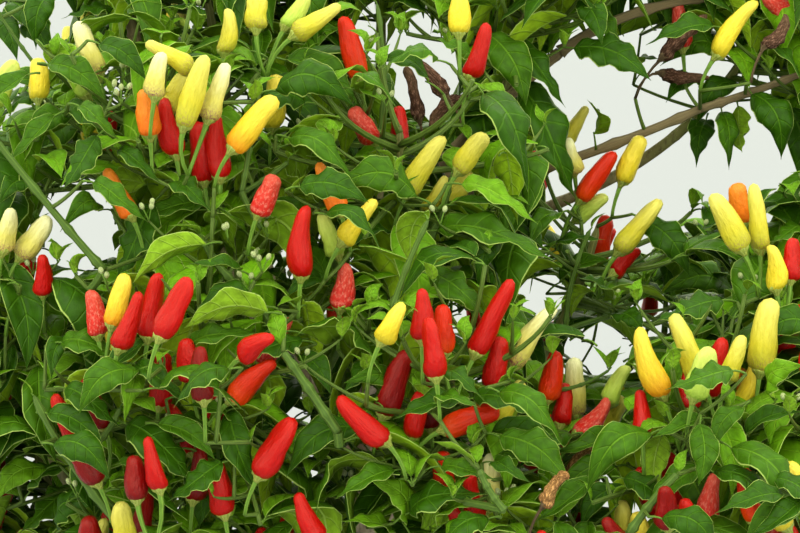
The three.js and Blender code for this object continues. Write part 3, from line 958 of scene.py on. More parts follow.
# %% Calyx and bud patterns
CALYX_PROFILE = [
    (0.0, 0.0), (0.30, 0.0), (0.38, 0.20), (0.58, 0.42), (0.84, 0.66), (1.0, 0.96), (0.90, 1.0),
    (0.0, 0.9),
]
BUD_PROFILE = [(0.0, 0.0), (0.5, 0.05), (0.9, 0.3), (1.0, 0.55), (0.75, 0.82), (0.3, 0.97), (0.0, 1.0)]
CALYX_SIDES = 10
BUD_SIDES = 8
TEETH = 5
TOOTH_HEIGHT = 0.12


def calyx_pattern():
    """A shallow cup with low teeth on its rim."""
    bm = spin_profile(CALYX_PROFILE, CALYX_SIDES)
    for vert in bm.verts:
        if vert.co.z > 0.55 and math.hypot(vert.co.x, vert.co.y) > 0.5:
            vert.co.z += TOOTH_HEIGHT * math.cos(TEETH * math.atan2(vert.co.y, vert.co.x))
    uv_round(bm)
    return Pattern(bm)


def bud_pattern():
    bm = spin_profile(BUD_PROFILE, BUD_SIDES)
    uv_round(bm)
    return Pattern(bm)


def stand(pattern, foot, axis, length, radius, turn):
    """A pattern that stands on foot along an axis, at a real length and radius in mm."""
    axis = unit(axis)
    side = unit(np.cross(axis, (math.cos(turn), math.sin(turn), 0.21)))
    front = np.cross(axis, side)
    x, y, z = pattern.places[:, :1], pattern.places[:, 1:2], pattern.places[:, 2:]
    return foot + radius * (x * side + y * front) + length * z * axis


CALYX = calyx_pattern()
BUD = bud_pattern()
print("a calyx has", CALYX.triangles, "triangles, a bud", BUD.triangles)

# %% [markdown]
# ## The pods of the best side
# The photograph shows some hundred and thirty pods in trusses of two and three. Each is named by
# the pixels of its tip and of its calyx, and by its ripeness. Its depth is that of the truss
# that it belongs to, or of the crown's surface there, and where two would touch, the later one
# steps back. Its real length follows from the picture's scale. A pod of which only the tip shows
# is built at full length, nearly upright and a little further back.

# %% Pods read from the photograph: tip, calyx, ripeness
PODS_SEEN = [
    (77, 21, 98, 77, "cream"), (57, 50, 75, 66, "green"), (36, 62, 38, 100, "yellow"),
    (87, 91, 92, 108, "yellow"), (16, 60, 2, 76, "green"), (145, 43, 192, 70, "lemon"),
    (207, 55, 184, 127, "lemon"), (164, 52, 155, 97, "cream"), (146, 88, 150, 136, "orange"),
    (165, 97, 176, 155, "red"), (228, 63, 208, 120, "cream"), (217, 113, 220, 178, "red"),
    (197, 121, 204, 182, "red"), (180, 82, 166, 112, "lemon"), (277, 97, 232, 150, "amber"),
    (226, 8, 224, 53, "lemon"), (255, -8, 256, 30, "lemon"), (341, 5, 294, 36, "lemon"),
    (342, 16, 359, 79, "scarlet"), (305, -6, 285, 28, "green"), (276, 74, 273, 98, "yellow"),
    (12, 208, 2, 252, "cream"), (49, 216, 20, 258, "cream"), (43, 257, 43, 294, "red"),
    (28, 268, 16, 297, "red"), (106, 168, 120, 184, "orange"), (275, 175, 258, 215, "coral"),
    (309, 205, 301, 277, "red"), (322, 212, 338, 256, "green"), (318, 162, 332, 182, "orange"),
    (399, 111, 400, 147, "red"), (446, 137, 408, 194, "lemon"), (487, 134, 458, 172, "lemon"),
    (444, 176, 425, 210, "lemon"), (472, 172, 444, 206, "lemon"), (377, 200, 352, 216, "yellow"),
    (458, -8, 459, 34, "yellow"), (486, 22, 469, 77, "red"), (352, 108, 374, 142, "coral"),
    (405, 66, 419, 119, "dried"), (407, 55, 446, 97, "dried"), (431, 130, 463, 98, "dried"),
    (708, 15, 662, 58, "dried"), (710, 77, 661, 73, "dried"), (786, 14, 764, 47, "dried"),
    (759, 2, 716, 56, "yellow"), (765, -6, 790, 16, "coral"), (676, -6, 681, 22, "coral"),
    (616, 152, 580, 200, "scarlet"), (608, 196, 576, 220, "green"), (643, 136, 622, 182, "yellow"),
    (568, 140, 574, 172, "cream"), (662, 200, 618, 252, "lemon"), (637, 256, 613, 274, "red"),
    (711, 194, 742, 250, "lemon"), (753, 183, 760, 250, "lemon"), (736, 183, 744, 222, "orange"),
    (768, 245, 776, 290, "yellow"), (793, 240, 790, 281, "red"), (799, 304, 787, 326, "red"),
    (125, 273, 112, 326, "amber"), (88, 290, 98, 336, "coral"), (110, 320, 118, 344, "yellow"),
    (160, 273, 148, 338, "red"), (189, 277, 160, 338, "red"), (139, 291, 119, 349, "red"),
    (187, 338, 192, 382, "red"), (201, 346, 203, 371, "dark"), (164, 352, 162, 366, "red"),
    (268, 339, 242, 357, "red"), (291, 318, 270, 336, "coral"), (276, 361, 231, 400, "scarlet"),
    (209, 376, 212, 392, "red"), (55, 393, 74, 415, "red"), (84, 378, 92, 390, "dark"),
    (165, 404, 184, 426, "red"), (70, 436, 80, 446, "dark"), (148, 436, 150, 442, "red"),
    (132, 456, 137, 500, "dark"), (199, 446, 196, 464, "dark"), (214, 461, 222, 488, "red"),
    (344, 262, 340, 309, "coral"), (427, 317, 436, 378, "red"), (421, 288, 422, 340, "red"),
    (443, 304, 444, 354, "scarlet"), (512, 279, 475, 354, "red"), (500, 336, 491, 388, "red"),
    (558, 308, 512, 366, "cream"), (409, 350, 383, 416, "dark"), (424, 374, 428, 396, "dark"),
    (423, 390, 412, 437, "red"), (339, 395, 386, 442, "red"), (500, 411, 443, 430, "scarlet"),
    (402, 303, 381, 342, "yellow"), (295, 418, 259, 476, "red"), (298, 492, 318, 540, "red"),
    (555, 350, 547, 400, "scarlet"), (565, 390, 560, 425, "red"), (574, 357, 576, 416, "cream"),
    (607, 397, 577, 436, "coral"), (522, 380, 506, 394, "lemon"), (506, 418, 524, 428, "lemon"),
    (528, 420, 545, 436, "red"), (548, 426, 572, 445, "red"), (512, 452, 544, 468, "red"),
    (630, 366, 610, 404, "green"), (618, 400, 604, 428, "lemon"), (640, 396, 642, 434, "red"),
    (594, 443, 567, 482, "tan"), (606, 452, 590, 468, "red"), (563, 478, 544, 505, "tan"),
    (640, 326, 663, 396, "amber"), (674, 313, 702, 380, "lemon"), (691, 376, 690, 410, "red"),
    (723, 337, 708, 396, "red"), (744, 335, 728, 380, "lemon"), (772, 298, 760, 372, "lemon"),
    (755, 352, 738, 408, "yellow"), (709, 346, 700, 366, "green"), (741, 367, 746, 384, "orange"),
    (742, 468, 750, 490, "scarlet"), (786, 462, 800, 480, "yellow"), (757, 482, 778, 500, "yellow"),
    (664, 490, 668, 528, "dark"), (684, 498, 688, 520, "red"), (603, 518, 622, 536, "dark"),
    (786, 522, 798, 540, "red"), (769, 503, 772, 515, "coral"), (666, 452, 672, 470, "red"),
    (640, 466, 650, 480, "red"), (576, 420, 588, 430, "red"), (450, 505, 462, 520, "red"),
]
POD_DEPTH = 16
# The depth of a pod where the view misses the crown.
POD_DEPTH_OUTSIDE = -150.0
TRUSS_REACH_PIXELS = 62
POD_RADIUS = 7.9
SHORTEST_POD = 30
USUAL_POD = 42
LONGEST_POD = 50
# How much of a pod's radius is marked as full, so that leaves may touch it.
POD_FILL = 0.8
STEP_BACK = 7
STEPS_BACK = 7
DRIED = ("dried", "tan")
# A pod of which less shows than this, in pixels, is half hidden by a leaf in front of its foot.
HALF_HIDDEN = 30
HIDDEN_LENGTH = 37
HIDDEN_BACK = 16
# The feet of pods that the photograph shows in front of others, and how much nearer they stand.
PODS_AHEAD = {(436, 378): 54, (119, 349): 20, (340, 309): 16}


def truss_depth(pixel):
    """The depth of the nearest truss in the picture, or of the crown's surface."""
    across, down, _ = to_photo(TRUSSES)
    off = np.hypot(across - pixel[0], down - pixel[1])
    if off.min() < TRUSS_REACH_PIXELS:
        return TRUSSES[off.argmin()][1]
    deep = front_at(pixel, POD_DEPTH)
    return POD_DEPTH_OUTSIDE if deep is None else deep


def axis_points(foot, axis, length, count=6):
    return foot + np.outer(np.linspace(0.05, 0.95, count) * length, unit(axis))


pods = []
pod_axes = np.empty((0, 3))


def pod_is_clear(foot, axis, length, radius):
    if not len(pod_axes):
        return True
    gaps = np.linalg.norm(axis_points(foot, axis, length)[:, None] - pod_axes, axis=2)
    return gaps.min() > 2 * radius


def add_pod(foot, axis, length, radius, kind, number):
    """Notes a pod and fills its space."""
    global pod_axes
    points = axis_points(foot, axis, length)
    pod_axes = np.concatenate([pod_axes, points])
    for turn in range(4):
        side = np.array([math.cos(turn * math.pi / 2), math.sin(turn * math.pi / 2), 0])
        space.mark(points + side * radius * POD_FILL)
    space.mark(points)
    pods.append({"foot": foot, "axis": unit(axis), "length": length, "radius": radius,
                 "kind": kind, "number": number})


half_hidden = []
for number, (*pixels, kind) in enumerate(PODS_SEEN):
    tip_pixel, foot_pixel = tuple(pixels[:2]), tuple(pixels[2:])
    deep = truss_depth(foot_pixel) - PODS_AHEAD.get(foot_pixel, 0)
    is_hidden = math.dist(tip_pixel, foot_pixel) < HALF_HIDDEN
    if is_hidden:
        half_hidden.append((foot_pixel, deep))
        down = unit(np.subtract(foot_pixel, tip_pixel)) + (0, 0.5)
        foot_pixel = np.add(tip_pixel, unit(down) * HIDDEN_LENGTH * PIXELS_PER_MM)
        deep += HIDDEN_BACK
    seen_length = math.dist(tip_pixel, foot_pixel) / PIXELS_PER_MM
    length = min(max(seen_length, SHORTEST_POD), LONGEST_POD)
    nod = math.sqrt(max(length ** 2 - seen_length ** 2, 0))
    if scatter(number, 2, 71) >= 0.5:
        nod = -nod
    stout = 0.72 + 0.28 * length / USUAL_POD
    radius = POD_RADIUS * stout * (0.94 + 0.14 * scatter(number, 3, 72))
    for step in range(STEPS_BACK):
        foot = from_photo(foot_pixel, deep + step * STEP_BACK)
        tip = from_photo(tip_pixel, deep + step * STEP_BACK) + np.array([0, 0.5 * nod, 0])
        is_clear = pod_is_clear(foot, tip - foot, length, radius)
        if is_clear and not space.hits(axis_points(foot, tip - foot, length)):
            break
    add_pod(foot, tip - foot, max(np.linalg.norm(tip - foot), SHORTEST_POD), radius, kind, number)
    if is_hidden:
        continue
    for side in (-0.9, 0, 0.9):
        line = axis_points(foot, tip - foot, length, 14) + side * radius * VIEW_RIGHT
        depths.mark(line)
        depths.mark(line + UP * 2)
print(len(pods), "pods on the best side,", len(half_hidden), "of them half hidden")

# %% [markdown]
# ## Side shoots
# Every twig forks again, in turn to its left and right, and the forks end in a tuft of leaves.
# They keep out of the openings and don't cross in front of a pod that the photograph shows.

# %% Side shoots
SHOOT_SHARES = (0.34, 0.56, 0.78)
SHOOT_LENGTHS = (30, 58)
SHOOT_TURN = 1.05
SHOOT_RISE = 0.18
SHOOT_INSIDE = 20
SIDE_RADII = (1.7, 1.5, 1.3, 1.2, 0.6)

shoots = []
for tip in growing_tips:
    twig, index, number = tip["curve"], tip["index"], tip["number"]
    for n, share in enumerate(SHOOT_SHARES):
        foot, way = twig.at(share), twig.way(share)
        side = unit(np.cross(way, UP)) * (1 if (n + number) % 2 else -1)
        turn = SHOOT_TURN * (0.7 + 0.6 * scatter(index, number * 4 + n, 57))
        lead = unit(way * math.cos(turn) + side * math.sin(turn) + UP * 0.25)
        length = between(SHOOT_LENGTHS, scatter(index, number * 4 + n, 58))
        end = foot + lead * length + UP * SHOOT_RISE * length
        if own_mass(end)[0] < SHOOT_INSIDE or in_opening(end)[0]:
            continue
        points = (foot, foot + lead * 0.6 * length, end)
        curve = Curve(*points)
        steps = curve.at(np.linspace(0.3, 1, 8))
        if depths.hides(steps) > 1 or space.hits(steps) > 1:
            continue
        twig_rods.append((SHOOT_ROD, bend_rod(SHOOT_ROD, points, SIDE_RADII)))
        remember(curve.at(np.linspace(0.3, 1, 5)), SIDE_RADII[-2], index)
        space.mark(curve.at(np.linspace(0, 1, 12)))
        shoots.append((curve, index, number * 5 + n + 200))
print(len(shoots), "side shoots")

# %% [markdown]
# ## Branches of the best side
# The photograph shows five stretches of brown branch and sixteen of green stem. Each is named by
# three pixels that it runs through and by its real radius at both ends. The green ones stand a
# little behind the pods near them, and the brown ones share one depth. Nodes swell along each,
# and a shoot from the nearest wood joins its foot.

# %% Shoots to a point, and the branches read from the photograph
SHOOT_RADII = (1.7, 1.4, 1.4)
LEAST_SHOOT = 9
UPHILL_COST = 1.4
BEHIND_PODS = 8
SHOOT_BEND_OUT = 0.58
SHOOT_BEND_UP = 0.42
BRANCH_ROD = make_rod(12, 30)
# Rings between two swollen nodes of a branch, how many rings further on they begin from one
# branch to the next, and how much the node and the rings beside it swell.
NODE_RINGS = 9
NODE_SHIFT = 3
BRANCH_SWELL = {0: 0.38, 1: 0.14, NODE_RINGS - 1: 0.14}
# How thin the last ring of a green one is, as a share of its tip.
GREEN_END = 0.4


def nearest_wood(point):
    """The point of the skeleton that a shoot to this one best leaves, and its mass."""
    way = point - skeleton[:bones, :3]
    cost = np.linalg.norm(way, axis=1) + UPHILL_COST * np.maximum(-way[:, 2], 0)
    best = skeleton[cost.argmin()]
    return best[:3].copy(), int(best[4])


def grow_shoot(point, radii=SHOOT_RADII, rod=SHOOT_ROD, pile=twig_rods):
    """A shoot from the nearest wood to a point. Later shoots may leave it."""
    foot, index = nearest_wood(point)
    span = np.linalg.norm(point - foot)
    if span > LEAST_SHOOT:
        bend = foot + (point - foot) * SHOOT_BEND_OUT
        bend[2] = between((foot[2], point[2]), SHOOT_BEND_UP)
        pile.append((rod, bend_rod(rod, (foot, bend, point), radii)))
        curve = bezier((foot, bend, point), np.linspace(0.2, 1, max(int(span / 7), 3)))
        remember(curve, radii[-1], index)
        space.mark(curve)
    return index, foot


# Depth at which the brown stretches run.
WOODY_DEPTH = -60
# Foot, middle and tip; radius at foot and tip; kind of wood.
BRANCHES_SEEN = [
    ((470, 190), (592, 152), (700, 109), 4.1, 3.2, "woody"),
    ((700, 109), (752, 92), (806, 72), 3.2, 2.6, "woody"),
    ((436, 168), (496, 108), (560, 52), 4.6, 4.1, "woody"),
    ((560, 52), (630, 15), (716, -4), 4.1, 3.3, "woody"),
    ((146, 72), (134, 34), (122, -4), 4.6, 4.2, "woody"),
    ((104, 270), (58, 217), (-6, 138), 2.8, 2.2, "green"),
    ((36, 66), (14, 36), (-4, 8), 1.4, 1.1, "green"),
    ((338, 432), (308, 388), (283, 352), 3.3, 2.7, "green"),
    ((256, 300), (222, 270), (204, 240), 2.8, 2.3, "green"),
    ((128, 534), (74, 466), (34, 396), 3.2, 2.2, "green"),
    ((80, 458), (104, 436), (120, 408), 2.3, 1.8, "green"),
    ((629, 534), (652, 502), (678, 474), 3.0, 2.3, "green"),
    ((504, 510), (489, 490), (479, 469), 2.6, 2.0, "green"),
    ((806, 411), (778, 419), (752, 430), 3.0, 2.5, "green"),
    ((560, 390), (586, 383), (609, 370), 1.4, 1.0, "green"),
    ((377, 143), (384, 84), (377, 4), 2.0, 1.6, "green"),
    ((242, 191), (249, 150), (253, 102), 2.0, 1.6, "green"),
    ((241, 194), (268, 177), (288, 162), 1.9, 1.6, "green"),
    ((384, 340), (402, 280), (428, 220), 2.2, 1.7, "green"),
    ((424, 252), (442, 214), (451, 176), 2.0, 1.6, "green"),
    ((566, 330), (572, 280), (590, 230), 2.0, 1.6, "green"),
]
brown_rods = []
green_rods = []


def branch_radii(foot_radius, tip_radius, end_radius, number):
    """The radius at each ring: an even taper with swollen nodes, and a last ring of its own."""
    even = np.linspace(foot_radius, tip_radius, BRANCH_ROD.steps)
    rings = np.arange(BRANCH_ROD.steps) + NODE_SHIFT * number
    swollen = [1 + BRANCH_SWELL.get(ring % NODE_RINGS, 0) for ring in rings]
    return (*(even * swollen), end_radius)


for number, (*pixels, foot_radius, tip_radius, wood) in enumerate(BRANCHES_SEEN):
    is_green = wood == "green"
    deep = truss_depth(pixels[1]) + BEHIND_PODS if is_green else WOODY_DEPTH
    foot, middle, tip = [from_photo(pixel, deep) for pixel in pixels]
    points = (foot, 2 * middle - (foot + tip) / 2, tip)
    pile = green_rods if is_green else brown_rods
    is_joined = np.linalg.norm(skeleton[:bones, :3] - foot, axis=1).min() < LEAST_SHOOT
    if is_joined:
        _, index = nearest_wood(foot)
    else:
        index, _ = grow_shoot(foot, (foot_radius, foot_radius), BRANCH_ROD, pile)
    end_radius = tip_radius * (GREEN_END if is_green else 1)
    radii = branch_radii(foot_radius, tip_radius, end_radius, number)
    pile.append((BRANCH_ROD, bend_rod(BRANCH_ROD, points, radii)))
    steps = bezier(points, np.linspace(0, 1, 24))
    remember(steps[2:], tip_radius, index)
    space.mark(steps)
    for offset in (-tip_radius, 0, tip_radius):
        depths.mark(steps + offset * UP)
    if is_green:
        shoots.append((Curve(*points), index, 900 + number * 4))
print(len(BRANCHES_SEEN), "branches on the best side")

# %% [markdown]
# ## Stalks, and the shoots that carry them
# Every pod stands on a stalk about 28 mm long that thickens to its calyx. Stalks whose feet come
# close share a node, and a shoot is grown to each node from the nearest twig below it, so that
# nothing floats.

# %% Nodes of the trusses
STALK_LENGTH = 28
STALK_RADII = (1.5, 1.35, 1.6, 2.3)
DRIED_STALK_RADII = (1.2, 0.9, 0.95, 1.4)
# A stalk leaves its pod back along the pod and bends down, by these shares.
STALK_BACK = 0.72
STALK_DOWN = 0.42
STALK_BEND = 0.55
# A calyx: how far down the stalk it begins, its height, its width as a share of the pod's, and
# how far it is turned from one pod of a truss to the next.
CALYX_DROP = 4.6
CALYX_HEIGHT = 7.4
CALYX_WIDTH = 0.76
DRIED_CALYX_WIDTH = 0.5
CALYX_TURN = 1.7
NODE_SHARE = 24
NODE_DROP = 0.75
MOST_ON_NODE = 4


def add_stalk(node, pod, twisted):
    """A stalk from a node to a pod, and its calyx. Those of a dried pod have shrunk as well."""
    foot, axis = pod["foot"], pod["axis"]
    is_dried = pod["kind"] in DRIED
    reach = np.linalg.norm(foot - node)
    points = (node, foot - axis * STALK_BEND * reach, foot + axis)
    radii = DRIED_STALK_RADII if is_dried else STALK_RADII
    stalk = (STALK_ROD, bend_rod(STALK_ROD, points, radii))
    size = pod["radius"] * (DRIED_CALYX_WIDTH if is_dried else CALYX_WIDTH)
    calyx = (CALYX, stand(CALYX, foot - axis * CALYX_DROP, axis, CALYX_HEIGHT, size, twisted))
    if is_dried:
        dried_stalks.extend([stalk, calyx])
    else:
        stalk_rods.append(stalk)
        calyxes.append(calyx)


calyxes = []
dried_stalks = []
stalk_feet = []
for pod in pods:
    down = unit(-STALK_BACK * pod["axis"] - STALK_DOWN * UP)
    stalk_feet.append(pod["foot"] + down * STALK_LENGTH)
truss_nodes = []
for pod, foot in zip(pods, stalk_feet):
    near = [node for node in truss_nodes if np.linalg.norm(node["middle"] - foot) < NODE_SHARE]
    if near and len(near[0]["pods"]) < MOST_ON_NODE:
        node = near[0]
        node["feet"].append(foot)
        node["pods"].append(pod)
        node["middle"] = np.mean(node["feet"], axis=0)
    else:
        truss_nodes.append({"feet": [foot], "pods": [pod], "middle": foot})
for node in truss_nodes:
    spread = np.linalg.norm(np.array(node["feet"])[:, :2] - node["middle"][:2], axis=1).max()
    node["middle"] = node["middle"] - UP * NODE_DROP * spread
truss_nodes.sort(key=lambda node: nearest_wood(node["middle"])[0][2])
for node in truss_nodes:
    index, _ = grow_shoot(node["middle"])
    node["index"] = index
    for number, pod in enumerate(node["pods"]):
        add_stalk(node["middle"], pod, number * CALYX_TURN)
print(len(truss_nodes), "truss nodes,", len(calyxes), "calyxes")

# %% [markdown]
# ## Pods of the other sides
# The photograph shows a part of one side only. The rest of the crown bears as many pods, so
# trusses of one to three stand on the tips that the rule marks, ripened in the same shares.

# %% Pods by the rule
RIPENESS = [
    ("red", 0.36), ("scarlet", 0.09), ("coral", 0.07), ("lemon", 0.15), ("cream", 0.09), ("yellow", 0.06),
    ("amber", 0.05), ("orange", 0.03), ("dark", 0.04), ("green", 0.04), ("dried", 0.02),
]
MORE_PODDED = 0.62
BEARING_DEPTH = 62
# The rule deals no pods in the part that the photograph shows, which ends at this depth.
SEEN_DEPTH = -20
POD_LEAN = math.radians(34)
POD_LENGTHS = (34, 48)
POD_STOUTNESS = (0.88, 1.12)


def ripeness(share):
    for kind, part in RIPENESS:
        share -= part
        if share < 0:
            return kind
    return "red"


def add_truss(node, index, number):
    """One to three pods on a node, leaning apart."""
    count = 1 + int(3 * scatter(index, number, 81) ** 1.3)
    for n in range(count):
        turn = 2 * math.pi * (n / count + scatter(index, number, 82 + n))
        lean = POD_LEAN * (0.25 + 0.75 * scatter(index, number, 85 + n))
        axis = unit((math.cos(turn) * math.sin(lean), math.sin(turn) * math.sin(lean), math.cos(lean)))
        foot = node + unit(axis + 0.25 * UP) * STALK_LENGTH
        length = between(POD_LENGTHS, scatter(index, number, 88 + n))
        radius = POD_RADIUS * between(POD_STOUTNESS, scatter(index, number, 91 + n))
        if own_mass(foot + axis * length)[0] < 0 or not pod_is_clear(foot, axis, length, radius):
            continue
        kind = ripeness(scatter(index, number * 7 + n, 94))
        add_pod(foot, axis, length, radius, kind, number + n)
        add_stalk(node, pods[-1], turn)


seen_count = len(pods)
bearers = [(tip["curve"].at(1), tip["index"], tip["number"], tip["podded"]) for tip in growing_tips]
bearers += [(curve.at(1), index, number, False) for curve, index, number in shoots]
for point, index, number, podded in bearers:
    is_seen = in_photo(point) and point[1] < SEEN_DEPTH
    if is_seen or own_mass(point)[0] > BEARING_DEPTH:
        continue
    if podded or scatter(index, number, 80) < MORE_PODDED:
        add_truss(point, index, number)
print(len(pods) - seen_count, "pods on the other sides")

# %% [markdown]
# ## Leaves
# The leaf is thin, long-oval with a drawn-out tip, folded along its rib and arched over, and its
# margin waves. It could be a cut-out picture on a card, but a mesh in its own outline keeps its
# edge in any light. The pattern is a flat slab first, where its UV is easy to give: the upper
# side in the lower half of the map and the underside in the upper half. Then it is bent.

# %% Leaf patterns
LEAF_THICKNESS = 0.0075
LEAF_WIDTH = 0.47
# The least half width at the foot and at the tip.
LEAF_FOOT = 0.011
LEAF_TIP = 0.0035
# Each side's tile in the UV map: its width, and where the upper side and the underside start.
TILE = 0.48
UPPER_START = 0.01
UNDER_START = 0.51
OUTLINE_RISE = 0.72
OUTLINE_FALL = 1.42
WIDEST = OUTLINE_RISE / (OUTLINE_RISE + OUTLINE_FALL)
WIDEST_VALUE = WIDEST ** OUTLINE_RISE * (1 - WIDEST) ** OUTLINE_FALL


def leaf_half_width(u):
    """Half the width at a share of the length: round at the foot, drawn out at the tip."""
    u = np.clip(u, 0, 1)
    return 0.5 * LEAF_WIDTH * u ** OUTLINE_RISE * (1 - u) ** OUTLINE_FALL / WIDEST_VALUE


def flat_leaf(steps, columns):
    """A closed flat slab with its UV map. x runs from 0 to 1, y from -1 to 1."""
    bm = bmesh.new()
    bmesh.ops.create_grid(bm, x_segments=steps, y_segments=columns, size=0.5)
    bmesh.ops.solidify(bm, geom=bm.faces[:], thickness=LEAF_THICKNESS)
    bmesh.ops.recalc_face_normals(bm, faces=bm.faces[:])
    top_z = max(vert.co.z for vert in bm.verts)
    layer = bm.loops.layers.uv.new(UV_NAME)
    for face in bm.faces:
        is_rim = abs(face.normal.z) < 0.5
        is_under = face.normal.z < -0.5
        face.material_index = 1 if is_under else 0
        face.smooth = not is_rim
        for loop in face.loops:
            x, y, z = loop.vert.co
            if is_rim and z < top_z - 1e-6:
                x, y = x * 0.985, y * 0.965
            across = (y + 0.5) * TILE + (UNDER_START if is_under else UPPER_START)
            loop[layer].uv = (x + 0.5, across)
    leaf = Pattern(bm)
    leaf.u = leaf.places[:, 0] + 0.5
    leaf.v = leaf.places[:, 1] * 2
    leaf.layer = (leaf.places[:, 2] < top_z - 1e-6).astype(float)
    return leaf


def bend_leaf(leaf, arch, fold, wave, waves, roll, twist, sweep, width):
    """Bends a flat leaf. Its chord runs from the origin to x = 1, its face looks up +Z."""
    # The rows lie closer together towards the foot and the tip.
    u = 0.5 - 0.5 * np.cos(np.pi * leaf.u)
    u = 0.45 * leaf.u + 0.55 * u
    v = leaf.v
    half = leaf_half_width(u) * width
    half = np.maximum(half, np.where(u < 0.5, LEAF_FOOT, LEAF_TIP))
    # The rib is an arch, highest before the middle, and each half of the blade is folded up from it.
    rib_z = arch * np.sin(np.pi * u ** 0.85)
    slope = arch * np.pi * 0.85 * np.maximum(u, 0.02) ** -0.15 * np.cos(np.pi * u ** 0.85)
    size = np.sqrt(1 + slope ** 2)
    normal_x, normal_z = -slope / size, 1 / size
    opening = fold * (1 - 0.35 * u)
    out = half * np.abs(v) * np.cos(opening)
    rise = half * np.abs(v) * np.sin(opening)
    ripple = wave * np.sin(2 * np.pi * waves * u + np.where(v > 0, 0.4, 2.3)) * np.abs(v) ** 1.6
    rise = rise + ripple * np.minimum(half * 7, 1) - roll * half * np.abs(v) ** 4
    rise = rise - leaf.layer * LEAF_THICKNESS * (1 - 0.75 * u)
    across = np.sign(v) * out
    turn = twist * u
    turned_across = across * np.cos(turn) - rise * np.sin(turn)
    turned_rise = across * np.sin(turn) + rise * np.cos(turn)
    places = np.stack([
        u + normal_x * turned_rise,
        turned_across + sweep * np.sin(np.pi * u) + 0.4 * sweep * u * u,
        rib_z + normal_z * turned_rise,
    ], axis=1)
    bent = Pattern.__new__(Pattern)
    bent.__dict__.update(leaf.__dict__)
    bent.places = places
    is_upper = leaf.layer < 0.5
    bent.samples = np.flatnonzero(is_upper & (leaf.u > 0.15) & (np.abs(np.abs(v) - 0.5) < 0.6))
    return bent


FINE_LEAF = flat_leaf(20, 6)
PLAIN_LEAF = flat_leaf(10, 4)
SIMPLE_LEAF = flat_leaf(8, 2)
# Arch, fold, wave, waves, roll, twist, sweep and width of each bent leaf.
LEAF_BENDS = [
    (0.16, 0.50, 0.032, 2.2, 0.15, 0.35, 0.06, 1.00),
    (0.28, 0.34, 0.040, 2.6, 0.30, -0.60, -0.08, 1.08),
    (0.10, 0.75, 0.026, 1.8, 0.10, 0.25, 0.10, 0.94),
    (0.34, 0.26, 0.040, 2.8, 0.50, 0.80, 0.04, 1.12),
    (0.22, 0.58, 0.034, 2.3, 0.35, -0.40, -0.11, 0.92),
    (0.13, 0.24, 0.046, 2.9, 0.25, 0.55, 0.08, 1.05),
    (0.42, 0.46, 0.030, 2.0, 0.45, -0.90, 0.00, 0.98),
]


def bent_leaves(leaf, share_of_waves):
    """The bent kinds of a leaf. A coarser one has fewer and lower waves."""
    kinds = []
    for arch, fold, wave, waves, *rest in LEAF_BENDS:
        kinds.append(bend_leaf(leaf, arch, fold, wave * share_of_waves, waves * share_of_waves, *rest))
    return kinds


FINE_LEAVES = bent_leaves(FINE_LEAF, 1.25)
PLAIN_LEAVES = bent_leaves(PLAIN_LEAF, 0.72)
SIMPLE_LEAVES = bent_leaves(SIMPLE_LEAF, 0.6)
print("triangles of a leaf:", FINE_LEAF.triangles, PLAIN_LEAF.triangles, SIMPLE_LEAF.triangles)


def lay_leaf(leaf, root, way, face, length):
    """Places in mm of a leaf from its root along a way, its upper side towards face."""
    way = unit(way)
    face = unit(face - way * (face @ way))
    side = np.cross(face, way)
    x, y, z = leaf.places[:, :1], leaf.places[:, 1:2], leaf.places[:, 2:]
    return root + length * (x * way + y * side + z * face)


# %% [markdown]
# ## The leaves of the best side
# The leaves that stand out in the photograph are named one by one as well, by the pixels of
# root and tip, by their tone, and by the side that is seen. A real leaf is 55 to 85 mm long, so
# one that looks shorter in the picture leans towards the camera.

